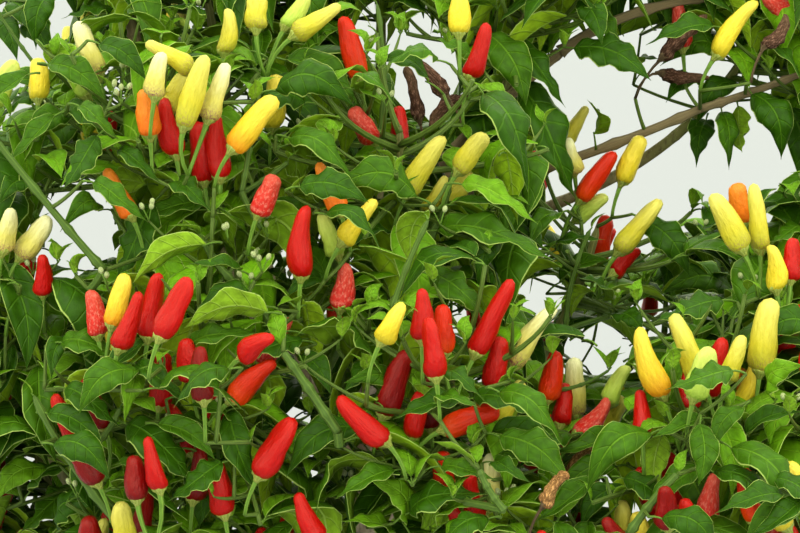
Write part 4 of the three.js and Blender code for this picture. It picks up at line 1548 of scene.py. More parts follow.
# %% Leaves read from the photograph: root, tip, tone, and whether the underside is seen
LEAVES_SEEN = [
    (48, -4, 38, 50, "deep"), (10, 2, 30, 34, "deep"), (44, 46, 72, 94, "fresh under"),
    (112, 8, 60, 18, "deep"), (100, 44, 146, 82, "deep"), (0, 86, 54, 92, "mid"),
    (54, 116, 8, 160, "mid"), (70, 116, 27, 148, "mid"), (42, 104, -4, 122, "deep"),
    (97, 136, 60, 190, "deep"), (80, 106, 122, 140, "mid"), (119, 150, 164, 183, "deep"),
    (146, 184, 106, 204, "mid under"), (176, 182, 214, 212, "deep"), (262, 32, 250, 72, "mid"),
    (288, 44, 338, 30, "mid"), (286, 60, 356, 106, "mid"), (276, 90, 354, 108, "deep"),
    (352, 88, 397, 108, "mid"), (290, 138, 357, 188, "mid"), (262, 170, 322, 204, "deep under"),
    (416, 197, 330, 192, "mid"), (462, 184, 540, 222, "fresh"), (438, 230, 558, 258, "mid"),
    (430, 274, 492, 318, "mid"), (392, 236, 352, 250, "deep"), (340, 212, 358, 250, "deep"),
    (300, 332, 382, 372, "mid under"), (228, 212, 302, 284, "deep under"),
    (206, 244, 134, 286, "mid under"), (152, 204, 112, 284, "deep"), (206, 202, 136, 219, "mid"),
    (268, 312, 184, 330, "mid under"), (262, 306, 192, 322, "deep"), (190, 346, 262, 330, "mid"),
    (26, 296, 86, 336, "mid"), (36, 298, 22, 332, "deep"), (62, 342, 126, 358, "mid"),
    (70, 338, 54, 380, "deep"), (4, 264, 22, 372, "deep"), (50, 298, 94, 272, "mid"),
    (138, 370, 80, 416, "mid"), (138, 376, 124, 424, "fresh"), (160, 388, 238, 412, "mid"),
    (128, 424, 204, 486, "deep"), (180, 448, 108, 464, "mid"), (88, 450, 96, 514, "deep"),
    (38, 366, 62, 464, "mid"), (46, 468, -4, 504, "fresh"), (34, 488, 80, 462, "mid"),
    (72, 486, 16, 534, "mid"), (60, 530, 104, 506, "deep"), (194, 462, 196, 530, "deep"),
    (228, 412, 262, 492, "deep"), (208, 482, 246, 508, "deep"), (182, 440, 218, 436, "deep"),
    (226, 500, 280, 470, "fresh"), (364, 428, 288, 480, "deep"), (394, 470, 334, 498, "mid"),
    (380, 462, 316, 514, "mid under"), (442, 466, 498, 478, "mid"), (410, 512, 494, 492, "deep"),
    (384, 402, 342, 384, "mid"), (370, 372, 340, 396, "deep"), (442, 372, 486, 400, "deep"),
    (440, 402, 482, 406, "mid"), (494, 462, 534, 482, "deep"), (404, 524, 366, 480, "fresh"),
    (430, 528, 424, 498, "fresh"), (440, 526, 478, 506, "fresh"), (392, 532, 340, 520, "fresh"),
    (446, 534, 510, 524, "fresh"), (420, 536, 404, 500, "fresh"), (500, 392, 564, 448, "mid"),
    (500, 436, 568, 486, "mid"), (540, 474, 494, 458, "mid"), (650, 434, 586, 494, "mid"),
    (700, 418, 650, 436, "mid"), (662, 434, 658, 494, "mid under"), (700, 424, 696, 486, "mid"),
    (742, 408, 714, 456, "mid"), (732, 448, 800, 528, "mid"), (714, 472, 772, 530, "deep"),
    (680, 462, 704, 534, "mid"), (624, 486, 582, 534, "deep"), (592, 480, 534, 520, "mid"),
    (746, 434, 802, 414, "deep"), (776, 400, 806, 366, "fresh"), (732, 292, 662, 296, "mid"),
    (722, 300, 648, 322, "deep"), (746, 294, 724, 324, "mid"), (642, 220, 688, 278, "deep"),
    (612, 314, 642, 334, "deep"), (802, 226, 768, 244, "mid"), (488, 34, 524, 108, "mid"),
    (514, 44, 568, 106, "deep"), (520, 84, 580, 198, "deep"), (484, 94, 528, 192, "deep"),
    (514, 138, 566, 114, "deep under"), (574, 48, 650, 82, "deep"), (600, 12, 626, 56, "mid"),
    (580, 0, 600, 46, "deep"), (594, 134, 586, 98, "deep"), (724, 60, 660, 66, "mid"),
    (738, 84, 696, 126, "deep"), (706, 120, 698, 168, "deep"), (722, 112, 729, 170, "mid"),
    (738, 106, 744, 152, "mid under"), (752, 94, 780, 160, "deep"), (790, 108, 800, 200, "deep"),
    (770, 62, 802, 82, "deep"), (640, 74, 664, 58, "mid"), (700, 86, 668, 104, "deep"),
    (474, 60, 430, 36, "mid"), (436, 60, 382, 68, "mid"), (428, 82, 372, 64, "deep"),
    (390, 16, 440, 30, "deep"), (500, 240, 478, 290, "deep"), (560, 214, 532, 250, "mid"),
    (556, 250, 606, 238, "deep"), (560, 282, 612, 262, "mid"), (604, 300, 576, 276, "deep"),
    (196, 30, 160, 8, "deep"), (300, 232, 252, 206, "mid"), (330, 286, 286, 300, "deep"),
    (360, 290, 320, 272, "deep"), (240, 270, 188, 262, "deep"), (232, 420, 180, 404, "mid"),
    (300, 356, 330, 396, "deep"), (12, 344, -8, 400, "deep"), (100, 210, 60, 232, "mid"),
    (34, 190, 0, 206, "deep"), (-4, 16, 16, 62, "deep"), (26, -6, 0, 30, "deep"),
    (24, 26, 50, 62, "deep"),
]
LEAF_DEPTH = 34
# The depth of a leaf where the view misses the crown.
LEAF_DEPTH_OUTSIDE = -120.0
LEAF_LENGTHS = (42, 86)
# A leaf is a little longer than the straight line from its root to its tip.
BENT_LENGTH = 1.04
# Which way the upper side looks, and how far that varies from leaf to leaf.
FACES = {"top": (0.0, -0.62, 0.78), "under": (0.0, 0.80, 0.60)}
FACE_SWAY = 0.3
PETIOLE_RADII = (0.95, 0.7, 0.6)
SMALL_LEAF = 40
SMALL_PETIOLE_RADII = (0.7, 0.55, 0.45)
PETIOLE_ARCH = 0.16
PETIOLE_SUNK = 0.05
# The petiole of a named leaf starts so far behind the leaf's root, and so far below it.
NODE_BEHIND = 12
NODE_BELOW = 5
LEAF_SHOOT_RADII = (1.6, 1.3, 1.2)

leaves = []


def add_leaf(leaf, root, way, face, length, tone, node):
    """Notes a leaf, fills its space and grows its petiole."""
    places = lay_leaf(leaf, root, way, face, length)
    leaves.append((leaf, places, tone))
    space.mark(places[leaf.samples])
    span = np.linalg.norm(root - node)
    bend = (node + root) / 2 + UP * PETIOLE_ARCH * span
    end = root + unit(way) * PETIOLE_SUNK * length
    radii = PETIOLE_RADII if length > SMALL_LEAF else SMALL_PETIOLE_RADII
    stalk_rods.append((PETIOLE_ROD, bend_rod(PETIOLE_ROD, (node, bend, end), radii)))
    return places


def hang_leaf(leaf, root, tip, face, tone, behind):
    """Grows a leaf of the best side on a shoot of its own, from a node behind its root."""
    node = root + unit(root - tip) * behind - UP * NODE_BELOW
    grow_shoot(node, LEAF_SHOOT_RADII)
    depths.mark(add_leaf(leaf, root, tip - root, face, np.linalg.norm(tip - root), tone, node))


for number, (*pixels, look) in enumerate(LEAVES_SEEN):
    root_pixel, tip_pixel = pixels[:2], pixels[2:]
    tone, *under = look.split()
    middle = ((root_pixel[0] + tip_pixel[0]) / 2, (root_pixel[1] + tip_pixel[1]) / 2)
    found = front_at(middle, LEAF_DEPTH)
    deep = LEAF_DEPTH_OUTSIDE if found is None else found
    seen_length = math.dist(root_pixel, tip_pixel) / PIXELS_PER_MM
    length = min(max(seen_length * BENT_LENGTH, LEAF_LENGTHS[0]), LEAF_LENGTHS[1])
    towards = math.sqrt(max(length ** 2 - seen_length ** 2, 0))
    sway = np.array([scatter(number, 1, 31) - 0.5, 0, scatter(number, 2, 31) - 0.5])
    face = np.array(FACES["under" if under else "top"]) + FACE_SWAY * sway
    leaf = FINE_LEAVES[int(scatter(number, 3, 32) * len(FINE_LEAVES))]
    best = None
    for step in range(STEPS_BACK):
        root = from_photo(root_pixel, deep + step * STEP_BACK + 0.5 * towards)
        tip = from_photo(tip_pixel, deep + step * STEP_BACK - 0.5 * towards)
        places = lay_leaf(leaf, root, tip - root, face, np.linalg.norm(tip - root))
        filled = space.hits(places[leaf.samples]) + depths.hides(places[leaf.samples])
        if best is None or filled < best[0]:
            best = (filled, root, tip)
        if filled <= 1:
            break
    _, root, tip = best
    hang_leaf(leaf, root, tip, face, tone, NODE_BEHIND)
print(len(leaves), "leaves named from the photograph")

# %% Leaves in front of half-hidden pods
COVER_AHEAD = (16, 6, 26)
# The root of such a leaf lies so far behind its middle, and the tip as far in front of it.
COVER_TILT = 6
COVER_NODE_BEHIND = 10
DEEP_COVERS = 0.6
MOST_FILLED = 24
HIDES_WEIGHT = 0.4
# Root and tip of such a leaf, in pixels from the place where the pod disappears behind it.
COVERS = [((-32, 4), (36, 22)), ((32, 4), (-36, 22)), ((-26, -2), (30, 36)), ((26, -2), (-30, 36))]

named = len(leaves)
for number, (pixel, deep) in enumerate(half_hidden):
    leaf = FINE_LEAVES[number % len(FINE_LEAVES)]
    face = np.array(FACES["top"]) + FACE_SWAY * np.array([scatter(number, 1, 33) - 0.5, 0, 0])
    best = None
    for ahead, (root_off, tip_off) in itertools.product(COVER_AHEAD, COVERS):
        root = from_photo(np.add(pixel, root_off), deep - ahead + COVER_TILT)
        tip = from_photo(np.add(pixel, tip_off), deep - ahead - COVER_TILT)
        samples = lay_leaf(leaf, root, tip - root, face, np.linalg.norm(tip - root))[leaf.samples]
        filled = space.hits(samples) + HIDES_WEIGHT * depths.hides(samples)
        if best is None or filled < best[0]:
            best = (filled, root, tip)
    filled, root, tip = best
    if filled > MOST_FILLED:
        continue
    tone = "deep" if scatter(number, 2, 33) < DEEP_COVERS else "mid"
    hang_leaf(leaf, root, tip, face, tone, COVER_NODE_BEHIND)
print(len(leaves) - named, "leaves in front of half-hidden pods")

# %% [markdown]
# ## Leaves by the rule
# The rest of the crown is filled by rule. Leaves stand round every tip and fork, each turned on
# from the last by the golden angle and hanging more the older it is. One that would run into
# another, into a pod or out of its mass is turned, and skipped if no turn helps. The innermost
# at a tip are young, small and bright.

# %% Leaves round tips and down shoots
LEAF_SPACING = 15
LEAF_SIZES = (50, 82)
YOUNG_SIZES = (22, 42)
PETIOLE = (9, 18)
TURNS = (0, 0.6, -0.6, 1.2, -1.2, 1.9, -1.9, 2.6)
MOST_HITS = 1
DETAIL_DEPTH = -40
# Leaves so far inside, in mm, get a paler colour: painted light, which stands in for the light that passes
# through leaves into the shade of the crown.
INNER_DEPTH = 34
TIP_LEAVES = 4
YOUNG_LEAVES = 3
SPROUT_LEAVES = 4
SPROUT_SIZES = (13, 21)
MOST_SPROUT_HIDES = 6
# Leaves may reach a little out of their mass's round, more in some places than in others.
LEAF_OVERHANG = 16
RAGGED = 46
RAGGED_SCALE = 75
BOX_SPARE = 22
# Small gaps between the leaves of the photograph, in pixels: middle, half width, half height.
GAPS_SEEN = np.array([
    (62, 20, 8, 24), (113, 92, 11, 26), (188, 18, 22, 17), (60, 262, 38, 20), (243, 100, 8, 15),
    (275, 118, 13, 9), (366, 36, 9, 28), (412, 22, 12, 9), (298, 409, 13, 9), (45, 508, 18, 12),
    (22, 470, 20, 10), (598, 350, 32, 24), (462, 318, 11, 16), (545, 298, 14, 20), (658, 318, 24, 17),
])
BOX_LOW = np.array(CAD_BOX[0]) / MM - BOX_SPARE
BOX_HIGH = np.array(CAD_BOX[1]) / MM + BOX_SPARE


def in_gap(points):
    """Whether any point covers one of the small gaps that the photograph shows."""
    across, down, _ = to_photo(points)
    off = np.stack([across, down], 1)[:, None] - GAPS_SEEN[:, :2]
    return bool(((off / GAPS_SEEN[:, 2:]) ** 2).sum(2).min() < 1)


def is_in_crown(samples):
    """Whether a leaf keeps within the crown's ragged outline."""
    ragged = 0.5 + 0.5 * noise.noise(Vector(samples.mean(0) / RAGGED_SCALE))
    if own_mass(samples).min() < RAGGED * ragged - LEAF_OVERHANG:
        return False
    return bool((samples > BOX_LOW).all() and (samples < BOX_HIGH).all())


def try_leaf(node, heading, droop, length, tone, key, rise=0.5):
    """Grows a leaf from a node if there is room for it, turned if need be."""
    is_detailed = tone != "fresh" and node[1] < DETAIL_DEPTH and in_photo(node)
    patterns = PLAIN_LEAVES if is_detailed else SIMPLE_LEAVES
    leaf = patterns[int(scatter(key, 5, 41) * len(patterns))]
    for n, turn in enumerate(TURNS):
        angle = heading + turn
        level = np.array([math.cos(angle), math.sin(angle), 0.0])
        petiole = between(PETIOLE, scatter(key, 6, 42)) * length / LEAF_SIZES[1]
        root = node + unit(level + UP * rise) * petiole
        dip = droop + 0.2 * (n % 2)
        way = level * math.cos(dip) - UP * math.sin(dip)
        sway = np.array([scatter(key, 7, 43) - 0.5, scatter(key, 8, 43) - 0.5, 0])
        face = UP + 0.35 * level + FACE_SWAY * sway
        places = lay_leaf(leaf, root, way, face, length)
        samples = places[leaf.samples]
        if space.hits(samples) > MOST_HITS or not is_in_crown(samples):
            continue
        if in_opening(samples).any() or in_gap(samples) or depths.hides(samples) > MOST_HITS:
            continue
        # Leaves deep in the crown's shade get the paler tone: painted light.
        is_inner = tone != "fresh" and own_mass(samples).min() > INNER_DEPTH
        add_leaf(leaf, root, way, face, length, "inner_painted_light" if is_inner else tone, node)
        return True
    return False


def tone_of(key):
    """Leaves of one spray share a tone."""
    return "deep" if scatter(key, 1, 51) < 0.55 else "mid"


def whorl(node, heading, count, key):
    """Grown leaves round one node."""
    for n in range(count):
        droop = between((0.0, 1.05), scatter(key, n, 53))
        size = between(LEAF_SIZES, scatter(key, n, 54))
        try_leaf(node, heading + GOLDEN_ANGLE * n, droop, size, tone_of(key), key + 20 + n)


def young_tuft(tip, heading, key):
    """Small bright leaves that stand up at a growing tip."""
    for n in range(YOUNG_LEAVES):
        size = between(YOUNG_SIZES, scatter(key, n, 52))
        try_leaf(tip, heading + GOLDEN_ANGLE * n, 0.17 * n - 0.5, size, "fresh", key + n, 1.2)


def sprout(tip, heading, key):
    """Tiny leaves just unfolding, which a tip has where nothing larger has room."""
    for n in range(SPROUT_LEAVES):
        angle = heading + GOLDEN_ANGLE * n
        way = unit((math.cos(angle), math.sin(angle), 1.1))
        size = between(SPROUT_SIZES, scatter(key, n, 64))
        leaf = SIMPLE_LEAVES[(key + n) % len(SIMPLE_LEAVES)]
        places = lay_leaf(leaf, tip + way * 2, way, UP - 0.4 * way, size)
        if depths.hides(places[leaf.samples]) <= MOST_SPROUT_HIDES:
            add_leaf(leaf, tip + way * 2, way, UP - 0.4 * way, size, "fresh", tip)


def leaf_out(curve, leafy, key, young):
    """Leaves down a twig or shoot, and a tuft or whorl at its tip."""
    before = len(leaves)
    tip, way = curve.at(1), curve.way(1)
    heading = math.atan2(way[1], way[0])
    if young:
        young_tuft(tip, heading, key)
    whorl(tip, heading + 1.2, TIP_LEAVES, key)
    if len(leaves) == before:
        sprout(tip, heading, key)
    below = 1.5 * LEAF_SPACING
    n = 0
    while below < leafy * curve.length:
        droop = between((0.25, 1.25), scatter(key, n, 55))
        size = between(LEAF_SIZES, scatter(key, n, 56))
        node = curve.at(1 - below / curve.length)
        try_leaf(node, heading + GOLDEN_ANGLE * (n + 7), droop, size, tone_of(key), key + 40 + n)
        below += LEAF_SPACING
        n += 1


for tip in growing_tips:
    leaf_out(tip["curve"], 0.7, tip["index"] * 1000 + tip["number"], True)
for curve, index, number in shoots:
    leaf_out(curve, 0.5, index * 1000 + number, number % 4 == 0)
for number, node in enumerate(truss_nodes):
    whorl(node["middle"], number, TIP_LEAVES, 90000 + number * 10)
print(len(leaves), "leaves on twigs and shoots")

# %% Sprays where the crown is still thin
SPRAY_TRIES = 5000
SPRAY_SPACING = 38
SPRAY_SHELL = (0.30, 0.86)
SPRAY_REACH = 75
SPRAY_LEAVES = 4
SPRAY_RADII = (1.4, 1.15, 1.0)
YOUNG_SHELL = 30
# Every leaf by the rule has a key for its scattered numbers. Those of sprays start here.
SPRAY_KEYS = 200000
KEYS_PER_SPRAY = 60

nodes = [tip["curve"].at(1) for tip in growing_tips] + [curve.at(1) for curve, _, _ in shoots]
nodes = np.array(nodes + [node["middle"] for node in truss_nodes])
sprays = 0
for key in range(SPRAY_TRIES):
    index = key % len(MASSES)
    turn = 2 * math.pi * scatter(key, 2, 62)
    way = on_round(1 - 2 * scatter(key, 1, 61), turn)
    point = CENTRES[index] + way * RADII[index] * between(SPRAY_SHELL, math.sqrt(scatter(key, 3, 63)))
    if np.linalg.norm(nodes - point, axis=1).min() < SPRAY_SPACING:
        continue
    if not mass_is_own(index, point) or in_opening(point)[0] or depths.hides(point[None]):
        continue
    if space.hits(point):
        continue
    foot, _ = nearest_wood(point)
    if np.linalg.norm(point - foot) > SPRAY_REACH:
        continue
    before = len(leaves)
    leaf_key = key * KEYS_PER_SPRAY + SPRAY_KEYS
    whorl(point, turn, SPRAY_LEAVES, leaf_key)
    if len(leaves) > before + 1:
        grow_shoot(point, SPRAY_RADII)
        if own_mass(point)[0] < YOUNG_SHELL:
            young_tuft(point, turn, leaf_key)
        nodes = np.concatenate([nodes, point[None]])
        sprays += 1
print(sprays, "more sprays,", len(leaves), "leaves in all")

# %% Buds at some of the young tips
BUDDED = 0.22
BUD_STALKS = (7, 12)
BUD_STALK_RADII = (0.5, 0.45, 0.6)
BUD_LENGTH = 5.2
BUD_RADIUS = 1.9
# Pixels at which the photograph shows buds.
BUDS_SEEN = [(112, 98), (121, 104), (33, 276), (228, 240), (262, 272)]
BUD_SHOOT_RADII = (1.5, 1.2, 1.1)
bud_copies = []


def add_buds(tip, key):
    """Two or three buds on thin stalks at a tip."""
    for n in range(2 + int(2 * scatter(key, 1, 96))):
        turn = GOLDEN_ANGLE * n + key
        axis = unit((0.5 * math.cos(turn), 0.5 * math.sin(turn), 1))
        end = tip + axis * between(BUD_STALKS, scatter(key, n, 97))
        points = (tip, (tip + end) / 2 + UP * 0.5, end)
        stalk_rods.append((STALK_ROD, bend_rod(STALK_ROD, points, BUD_STALK_RADII)))
        bud_copies.append((BUD, stand(BUD, end - axis * 0.5, axis, BUD_LENGTH, BUD_RADIUS, turn)))


for curve, index, number in shoots:
    if scatter(index, number, 95) < BUDDED:
        add_buds(curve.at(1), index * 100 + number)
for pixel in BUDS_SEEN:
    node = from_photo(pixel, front_at(pixel, LEAF_DEPTH))
    grow_shoot(node, BUD_SHOOT_RADII)
    add_buds(node, pixel[0])
print(len(bud_copies), "buds")

# %% [markdown]
# ## Finishes of leaf, stalk and pod
# The upper side of a leaf is deep green and shines, its rib and side veins are paler, and its
# margin is a thin line of yellow-green. The underside is dull and paler, and so are its veins.
# Veins follow the leaf's own UV map, so that they run the same way on every leaf however it is
# bent.

# %% Leaf finishes
SIDE_VEINS = 7
TONES = {
    "deep": {"blade": (0.031, 0.100, 0.002), "vein": (0.076, 0.190, 0.008),
             "under": (0.205, 0.370, 0.014), "rough": 0.36},
    "mid": {"blade": (0.052, 0.146, 0.003), "vein": (0.112, 0.250, 0.012),
            "under": (0.235, 0.410, 0.018), "rough": 0.38},
    # A paler tone for leaves deep inside the crown: painted light that lightens its shade.
    "inner_painted_light": {"blade": (0.150, 0.365, 0.006), "vein": (0.220, 0.430, 0.016),
              "under": (0.350, 0.560, 0.018), "rough": 0.44},
    "fresh": {"blade": (0.145, 0.330, 0.008), "vein": (0.225, 0.440, 0.028),
              "under": (0.270, 0.500, 0.025), "rough": 0.44},
}
MARGIN = (0.400, 0.530, 0.130)
UNDER_VEIN = (0.330, 0.500, 0.080)


def leaf_finish(tone, is_under):
    """One side of a leaf, from its place in the UV map."""
    look = TONES[tone]
    name = f"leaf_{tone}_{'under' if is_under else 'upper'}"
    finish = Finish(name, Specular_IOR_Level=0.13)
    uv, along, across = finish.uv()
    start = UNDER_START if is_under else UPPER_START
    off_rib = abs((across - start) * (2 / TILE) - 1)
    sweep = (along * SIDE_VEINS - off_rib * 0.85).fraction()
    vein = 1 - abs(sweep - 0.5).ramp_up(0.0, 0.09)
    rib = 1 - off_rib.ramp_up(0.03, 0.085)
    margin = off_rib.ramp_up(0.945, 0.985)
    mottle = finish.noise(uv, 9, 4, 0.6)
    cells = finish.noise(uv, 75, 2)
    blade = look["under"] if is_under else look["blade"]
    vein_color = UNDER_VEIN if is_under else look["vein"]
    color = finish.mix(mottle.ramp_up(0.3, 0.7), dimmed(blade, 0.62), blade)
    color = finish.mix(vein * (0.35 if is_under else 0.4), color, vein_color)
    color = finish.mix(rib * 0.75, color, vein_color)
    color = finish.mix(margin * 0.9, color, MARGIN)
    finish.set("Base Color", color)
    dull = 0.24 if is_under else 0.0
    finish.set("Roughness", look["rough"] + dull + 0.16 * mottle)
    sign = -1 if is_under else 1
    finish.bump(cells * 0.25 - (vein + 1.3 * rib) * sign * 0.8 + mottle * 0.8, 0.0006)
    return finish


foliage_nodes = ["foliage_" + name for name in MASSES]
for tone in TONES:
    copies = [(leaf, places) for leaf, places, kind in leaves if kind == tone]
    finishes = [leaf_finish(tone, False), leaf_finish(tone, True)]
    for piece in join_in_pieces(f"leaves_{tone}", copies, finishes):
        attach(piece, "root")
        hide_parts(*foliage_nodes)
        print(piece.name, len(piece.data.polygons), "faces")


# %% Finishes of stems, twigs and stalks
# Piece, its copies and its finish: ground colour, colour of the ribs, ribs round it, roughness,
# and how much the ribs show.
STEM_PIECES = [
    ("stems", stem_rods, "stem", (0.21, 0.22, 0.065), (0.33, 0.32, 0.12), 3, 0.6, 0.5),
    ("brown_branches", brown_rods, "brown_branch", (0.25, 0.185, 0.1), (0.42, 0.34, 0.2), 2, 0.8, 0.2),
    ("green_branches", green_rods, "green_branch", (0.085, 0.17, 0.018), (0.17, 0.27, 0.042), 3, 0.5, 0.35),
    ("twigs", twig_rods, "twig", (0.11, 0.19, 0.022), (0.19, 0.29, 0.05), 3, 0.5, 0.5),
    ("stalks", stalk_rods, "stalk", (0.15, 0.31, 0.026), (0.27, 0.43, 0.06), 2, 0.46, 0.5),
    ("calyxes", calyxes, "calyx", (0.4, 0.48, 0.08), (0.52, 0.56, 0.17), 5, 0.48, 0.5),
    ("dried_stalks", dried_stalks, "dried_stalk", (0.105, 0.066, 0.034), (0.2, 0.135, 0.075), 2, 0.8, 0.5),
    ("buds", bud_copies, "bud", (0.52, 0.62, 0.27), (0.68, 0.74, 0.42), 5, 0.5, 0.5),
]


def stem_finish(name, ground, rib_color, ribs, rough, ribbed):
    """A ribbed stem, streaked along, a little darker at each end where it forks."""
    finish = Finish(name, Specular_IOR_Level=0.35)
    uv, around, along = finish.uv()
    rib = 1 - abs((around * ribs).fraction() - 0.5) * 2
    streak = finish.noise(finish.stretch(uv, 6, 1.2, 1), 5, 4)
    fork = 1 - (abs(along * 2 - 1)).ramp_up(0.82, 1.0)
    dark = dimmed(ground, 0.55)
    color = finish.mix(streak.ramp_up(0.3, 0.7), dark, ground)
    color = finish.mix(rib.ramp_up(0.4, 1.0) * ribbed, color, rib_color)
    color = finish.mix(0.45 - 0.45 * fork, color, dark)
    finish.set("Base Color", color)
    finish.set("Roughness", rough + 0.15 * streak)
    finish.bump(rib.ramp_up(0.2, 0.9) * ribbed + streak * 0.6, 0.0006)
    return finish


for name, copies, *look in STEM_PIECES:
    for piece in join_in_pieces(name, copies, [stem_finish(*look)]):
        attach(piece, "root")
        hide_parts(*foliage_nodes)
        print(piece.name, len(piece.data.polygons), "faces")

# %% [markdown]
# ## Pod finishes
# A pod's skin is waxy, with a soft gloss. It colours from the tip down: a cream pod is whitish
# at its tip and greenish, often flushed purple, at its calyx, and an amber one is still yellow
# at its tip. Each ripeness has its own finish with three colours along the pod, a cloudy mottle
# and low dents. Coral pods are also blotched with pale pink, partly their own mottle and partly a
# painted sheen. Dried pods are dark, matt and creased.

# %% Pod finishes and pieces
# Colours at the calyx, in the middle and at the tip, the flush near the calyx, and the gloss.
SKINS = {
    "cream": ((0.500, 0.430, 0.090), (0.680, 0.600, 0.130), (0.860, 0.820, 0.480), 0.95, 0.30),
    "lemon": ((0.450, 0.450, 0.030), (0.620, 0.530, 0.034), (0.730, 0.650, 0.130), 0.50, 0.28),
    "yellow": ((0.640, 0.520, 0.026), (0.810, 0.600, 0.030), (0.850, 0.680, 0.080), 0.0, 0.28),
    "green": ((0.330, 0.500, 0.060), (0.480, 0.620, 0.085), (0.620, 0.690, 0.150), 0.0, 0.30),
    "amber": ((0.840, 0.280, 0.008), (0.870, 0.560, 0.030), (0.870, 0.650, 0.070), 0.0, 0.26),
    "orange": ((0.830, 0.150, 0.010), (0.860, 0.190, 0.010), (0.850, 0.240, 0.020), 0.0, 0.25),
    "scarlet": ((0.690, 0.056, 0.002), (0.640, 0.022, 0.002), (0.640, 0.017, 0.002), 0.0, 0.24),
    "red": ((0.430, 0.003, 0.002), (0.480, 0.003, 0.002), (0.530, 0.006, 0.003), 0.0, 0.23),
    "coral": ((0.560, 0.012, 0.008), (0.640, 0.024, 0.016), (0.680, 0.070, 0.045), 0.0, 0.32),
    "dark": ((0.160, 0.002, 0.002), (0.230, 0.002, 0.002), (0.270, 0.004, 0.003), 0.0, 0.26),
    "dried": ((0.060, 0.026, 0.014), (0.095, 0.040, 0.024), (0.150, 0.085, 0.045), 0.0, 0.62),
    "tan": ((0.260, 0.110, 0.034), (0.390, 0.190, 0.065), (0.360, 0.160, 0.055), 0.0, 0.60),
}
FLUSH = (0.270, 0.090, 0.110)
DRIED_RADIUS = 0.78
# A pod that has just turned red is mottled with pale pink: partly its own colour, partly a painted sheen.
MOTTLED_AND_SHEENED = ("coral",)
PINK_AND_SHEEN = (0.820, 0.260, 0.210)


def pod_finish(kind):
    """The skin of one ripeness, coloured along the pod."""
    at_calyx, in_middle, at_tip, flush, rough = SKINS[kind]
    is_dried = kind in DRIED
    coat = 0.0 if is_dried else 0.1
    finish = Finish("pod_" + kind, Specular_IOR_Level=0.18, Coat_Weight=coat, Coat_Roughness=0.18)
    uv, _, along = finish.uv()
    cloud = finish.noise(finish.stretch(uv, 1.6, 1, 1), 5, 4, 0.55)
    fine = finish.noise(uv, 46, 2)
    place = along + 0.22 * (cloud - 0.5)
    stops = [(0.02, at_calyx), (0.38, in_middle), (0.92, at_tip)]
    color = finish.node("ShaderNodeValToRGB", {"stops": stops}, {"Fac": place})
    darker = 0.45 if is_dried else 0.16
    shade = dimmed(in_middle, 0.45)
    color = finish.mix((1 - cloud.ramp_up(0.32, 0.62)) * darker, color, shade)
    if flush:
        speck = finish.noise(uv, 26, 3)
        near_calyx = (1 - along.ramp_up(0.04, 0.32)) * speck.ramp_up(0.46, 0.62)
        color = finish.mix(near_calyx * flush, color, FLUSH)
    if kind in MOTTLED_AND_SHEENED:
        # Pale pink patches: partly the pod's own mottle, partly a painted sheen.
        pink_and_sheen_patch = finish.noise(uv, 11, 4, 0.6)
        color = finish.mix(pink_and_sheen_patch.ramp_up(0.46, 0.68) * 0.55, color, PINK_AND_SHEEN)
    if is_dried:
        pale = tuple(min(2.6 * c + 0.05, 1) for c in in_middle)
        blotch = finish.noise(uv, 11, 5, 0.7)
        color = finish.mix(blotch.ramp_up(0.50, 0.62) * 0.8, color, pale)
        color = finish.mix((1 - blotch.ramp_up(0.36, 0.46)) * 0.7, color, shade)
    finish.set("Base Color", color)
    finish.set("Roughness", rough + 0.14 * cloud)
    finish.bump(cloud + 0.06 * fine, 0.004 if is_dried else 0.0016)
    return finish


for kind in SKINS:
    chosen = [pod for pod in pods if pod["kind"] == kind]
    patterns = DRIED_PATTERNS if kind in DRIED else POD_PATTERNS
    copies = []
    for pod in chosen:
        pattern = patterns[pod["number"] % len(patterns)]
        radius = pod["radius"] * (DRIED_RADIUS if kind in DRIED else 1)
        turn = GOLDEN_ANGLE * pod["number"]
        copies.append((pattern, stand(pattern, pod["foot"], pod["axis"], pod["length"], radius, turn)))
    for piece in join_in_pieces("pods_" + kind, copies, [pod_finish(kind)]):
        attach(piece, "root")
        print(piece.name, len(copies), "pods")

# %% [markdown]
# ## Floor and light
# A plain pale floor, and the soft light of an overcast day. Lamps near the bush would light the
# floor unevenly, so wide suns do it: one high on the left, one nearly as strong in front, a weak
# one on the right, and one behind that parts leaves from each other. A pale sky fills the shade.

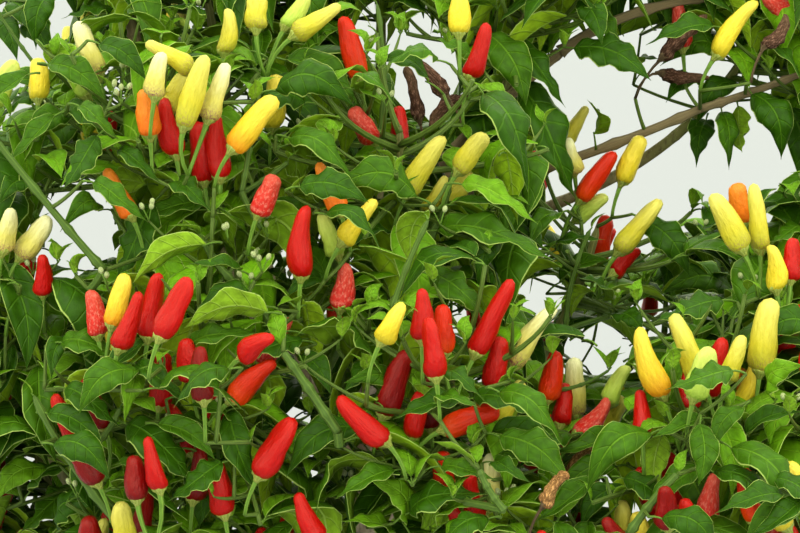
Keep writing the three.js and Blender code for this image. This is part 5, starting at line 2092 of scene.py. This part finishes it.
# %% Floor, suns and sky
FLOOR_SIZE = 60
FLOOR_COLOR = (0.325, 0.33, 0.40)
SKY_COLOR = (0.96, 1.0, 0.72)
SKY_STRENGTH = 1.9
# From where each sun shines, the width of its disc in degrees, its power and its colour.
SUNS = [
    ((0.1, -1.0, 0.35), 100, 0.85, (1.0, 1.0, 0.90)),
    ((-0.55, -0.75, 1.35), 40, 0.9, (1.0, 0.98, 0.88)),
    ((1.0, -0.6, 0.6), 60, 0.3, (0.95, 0.98, 1.0)),
    ((0.2, 1.0, 0.9), 50, 0.7, (0.98, 1.0, 0.90)),
]


def floor_finish():
    """Matt, with a faint grain."""
    finish = Finish("floor", Specular_IOR_Level=0.1)
    place = finish.node("ShaderNodeTexCoord", output=3)
    grain = finish.noise(place, 3, 2)
    finish.set("Base Color", finish.mix(grain * 0.15, FLOOR_COLOR, dimmed(FLOOR_COLOR, 0.93)))
    finish.set("Roughness", 0.9)
    return finish


bm = bmesh.new()
bmesh.ops.create_grid(bm, x_segments=1, y_segments=1, size=FLOOR_SIZE / 2)
floor_mesh = bpy.data.meshes.new("floor")
bm.to_mesh(floor_mesh)
bm.free()
floor_mesh.materials.append(floor_finish().material)
floor = bpy.data.objects.new("floor", floor_mesh)
bpy.context.scene.collection.objects.link(floor)
for number, (place, disc, power, color) in enumerate(SUNS):
    data = bpy.data.lights.new(f"sun_{number}", "SUN")
    data.angle = math.radians(disc)
    data.energy = power
    data.color = color
    sun = bpy.data.objects.new(f"sun_{number}", data)
    sun.rotation_euler = Vector(place).to_track_quat("Z", "Y").to_euler()
    bpy.context.scene.collection.objects.link(sun)
world = bpy.data.worlds.new("sky")
world.use_nodes = True
world.node_tree.nodes["Background"].inputs["Color"].default_value = (*SKY_COLOR, 1)
world.node_tree.nodes["Background"].inputs["Strength"].default_value = SKY_STRENGTH
bpy.context.scene.world = world
print(len(SUNS), "suns")

# The eye sees the colours as they are, without a film's softening of bright ones.
bpy.context.scene.view_settings.view_transform = "Standard"
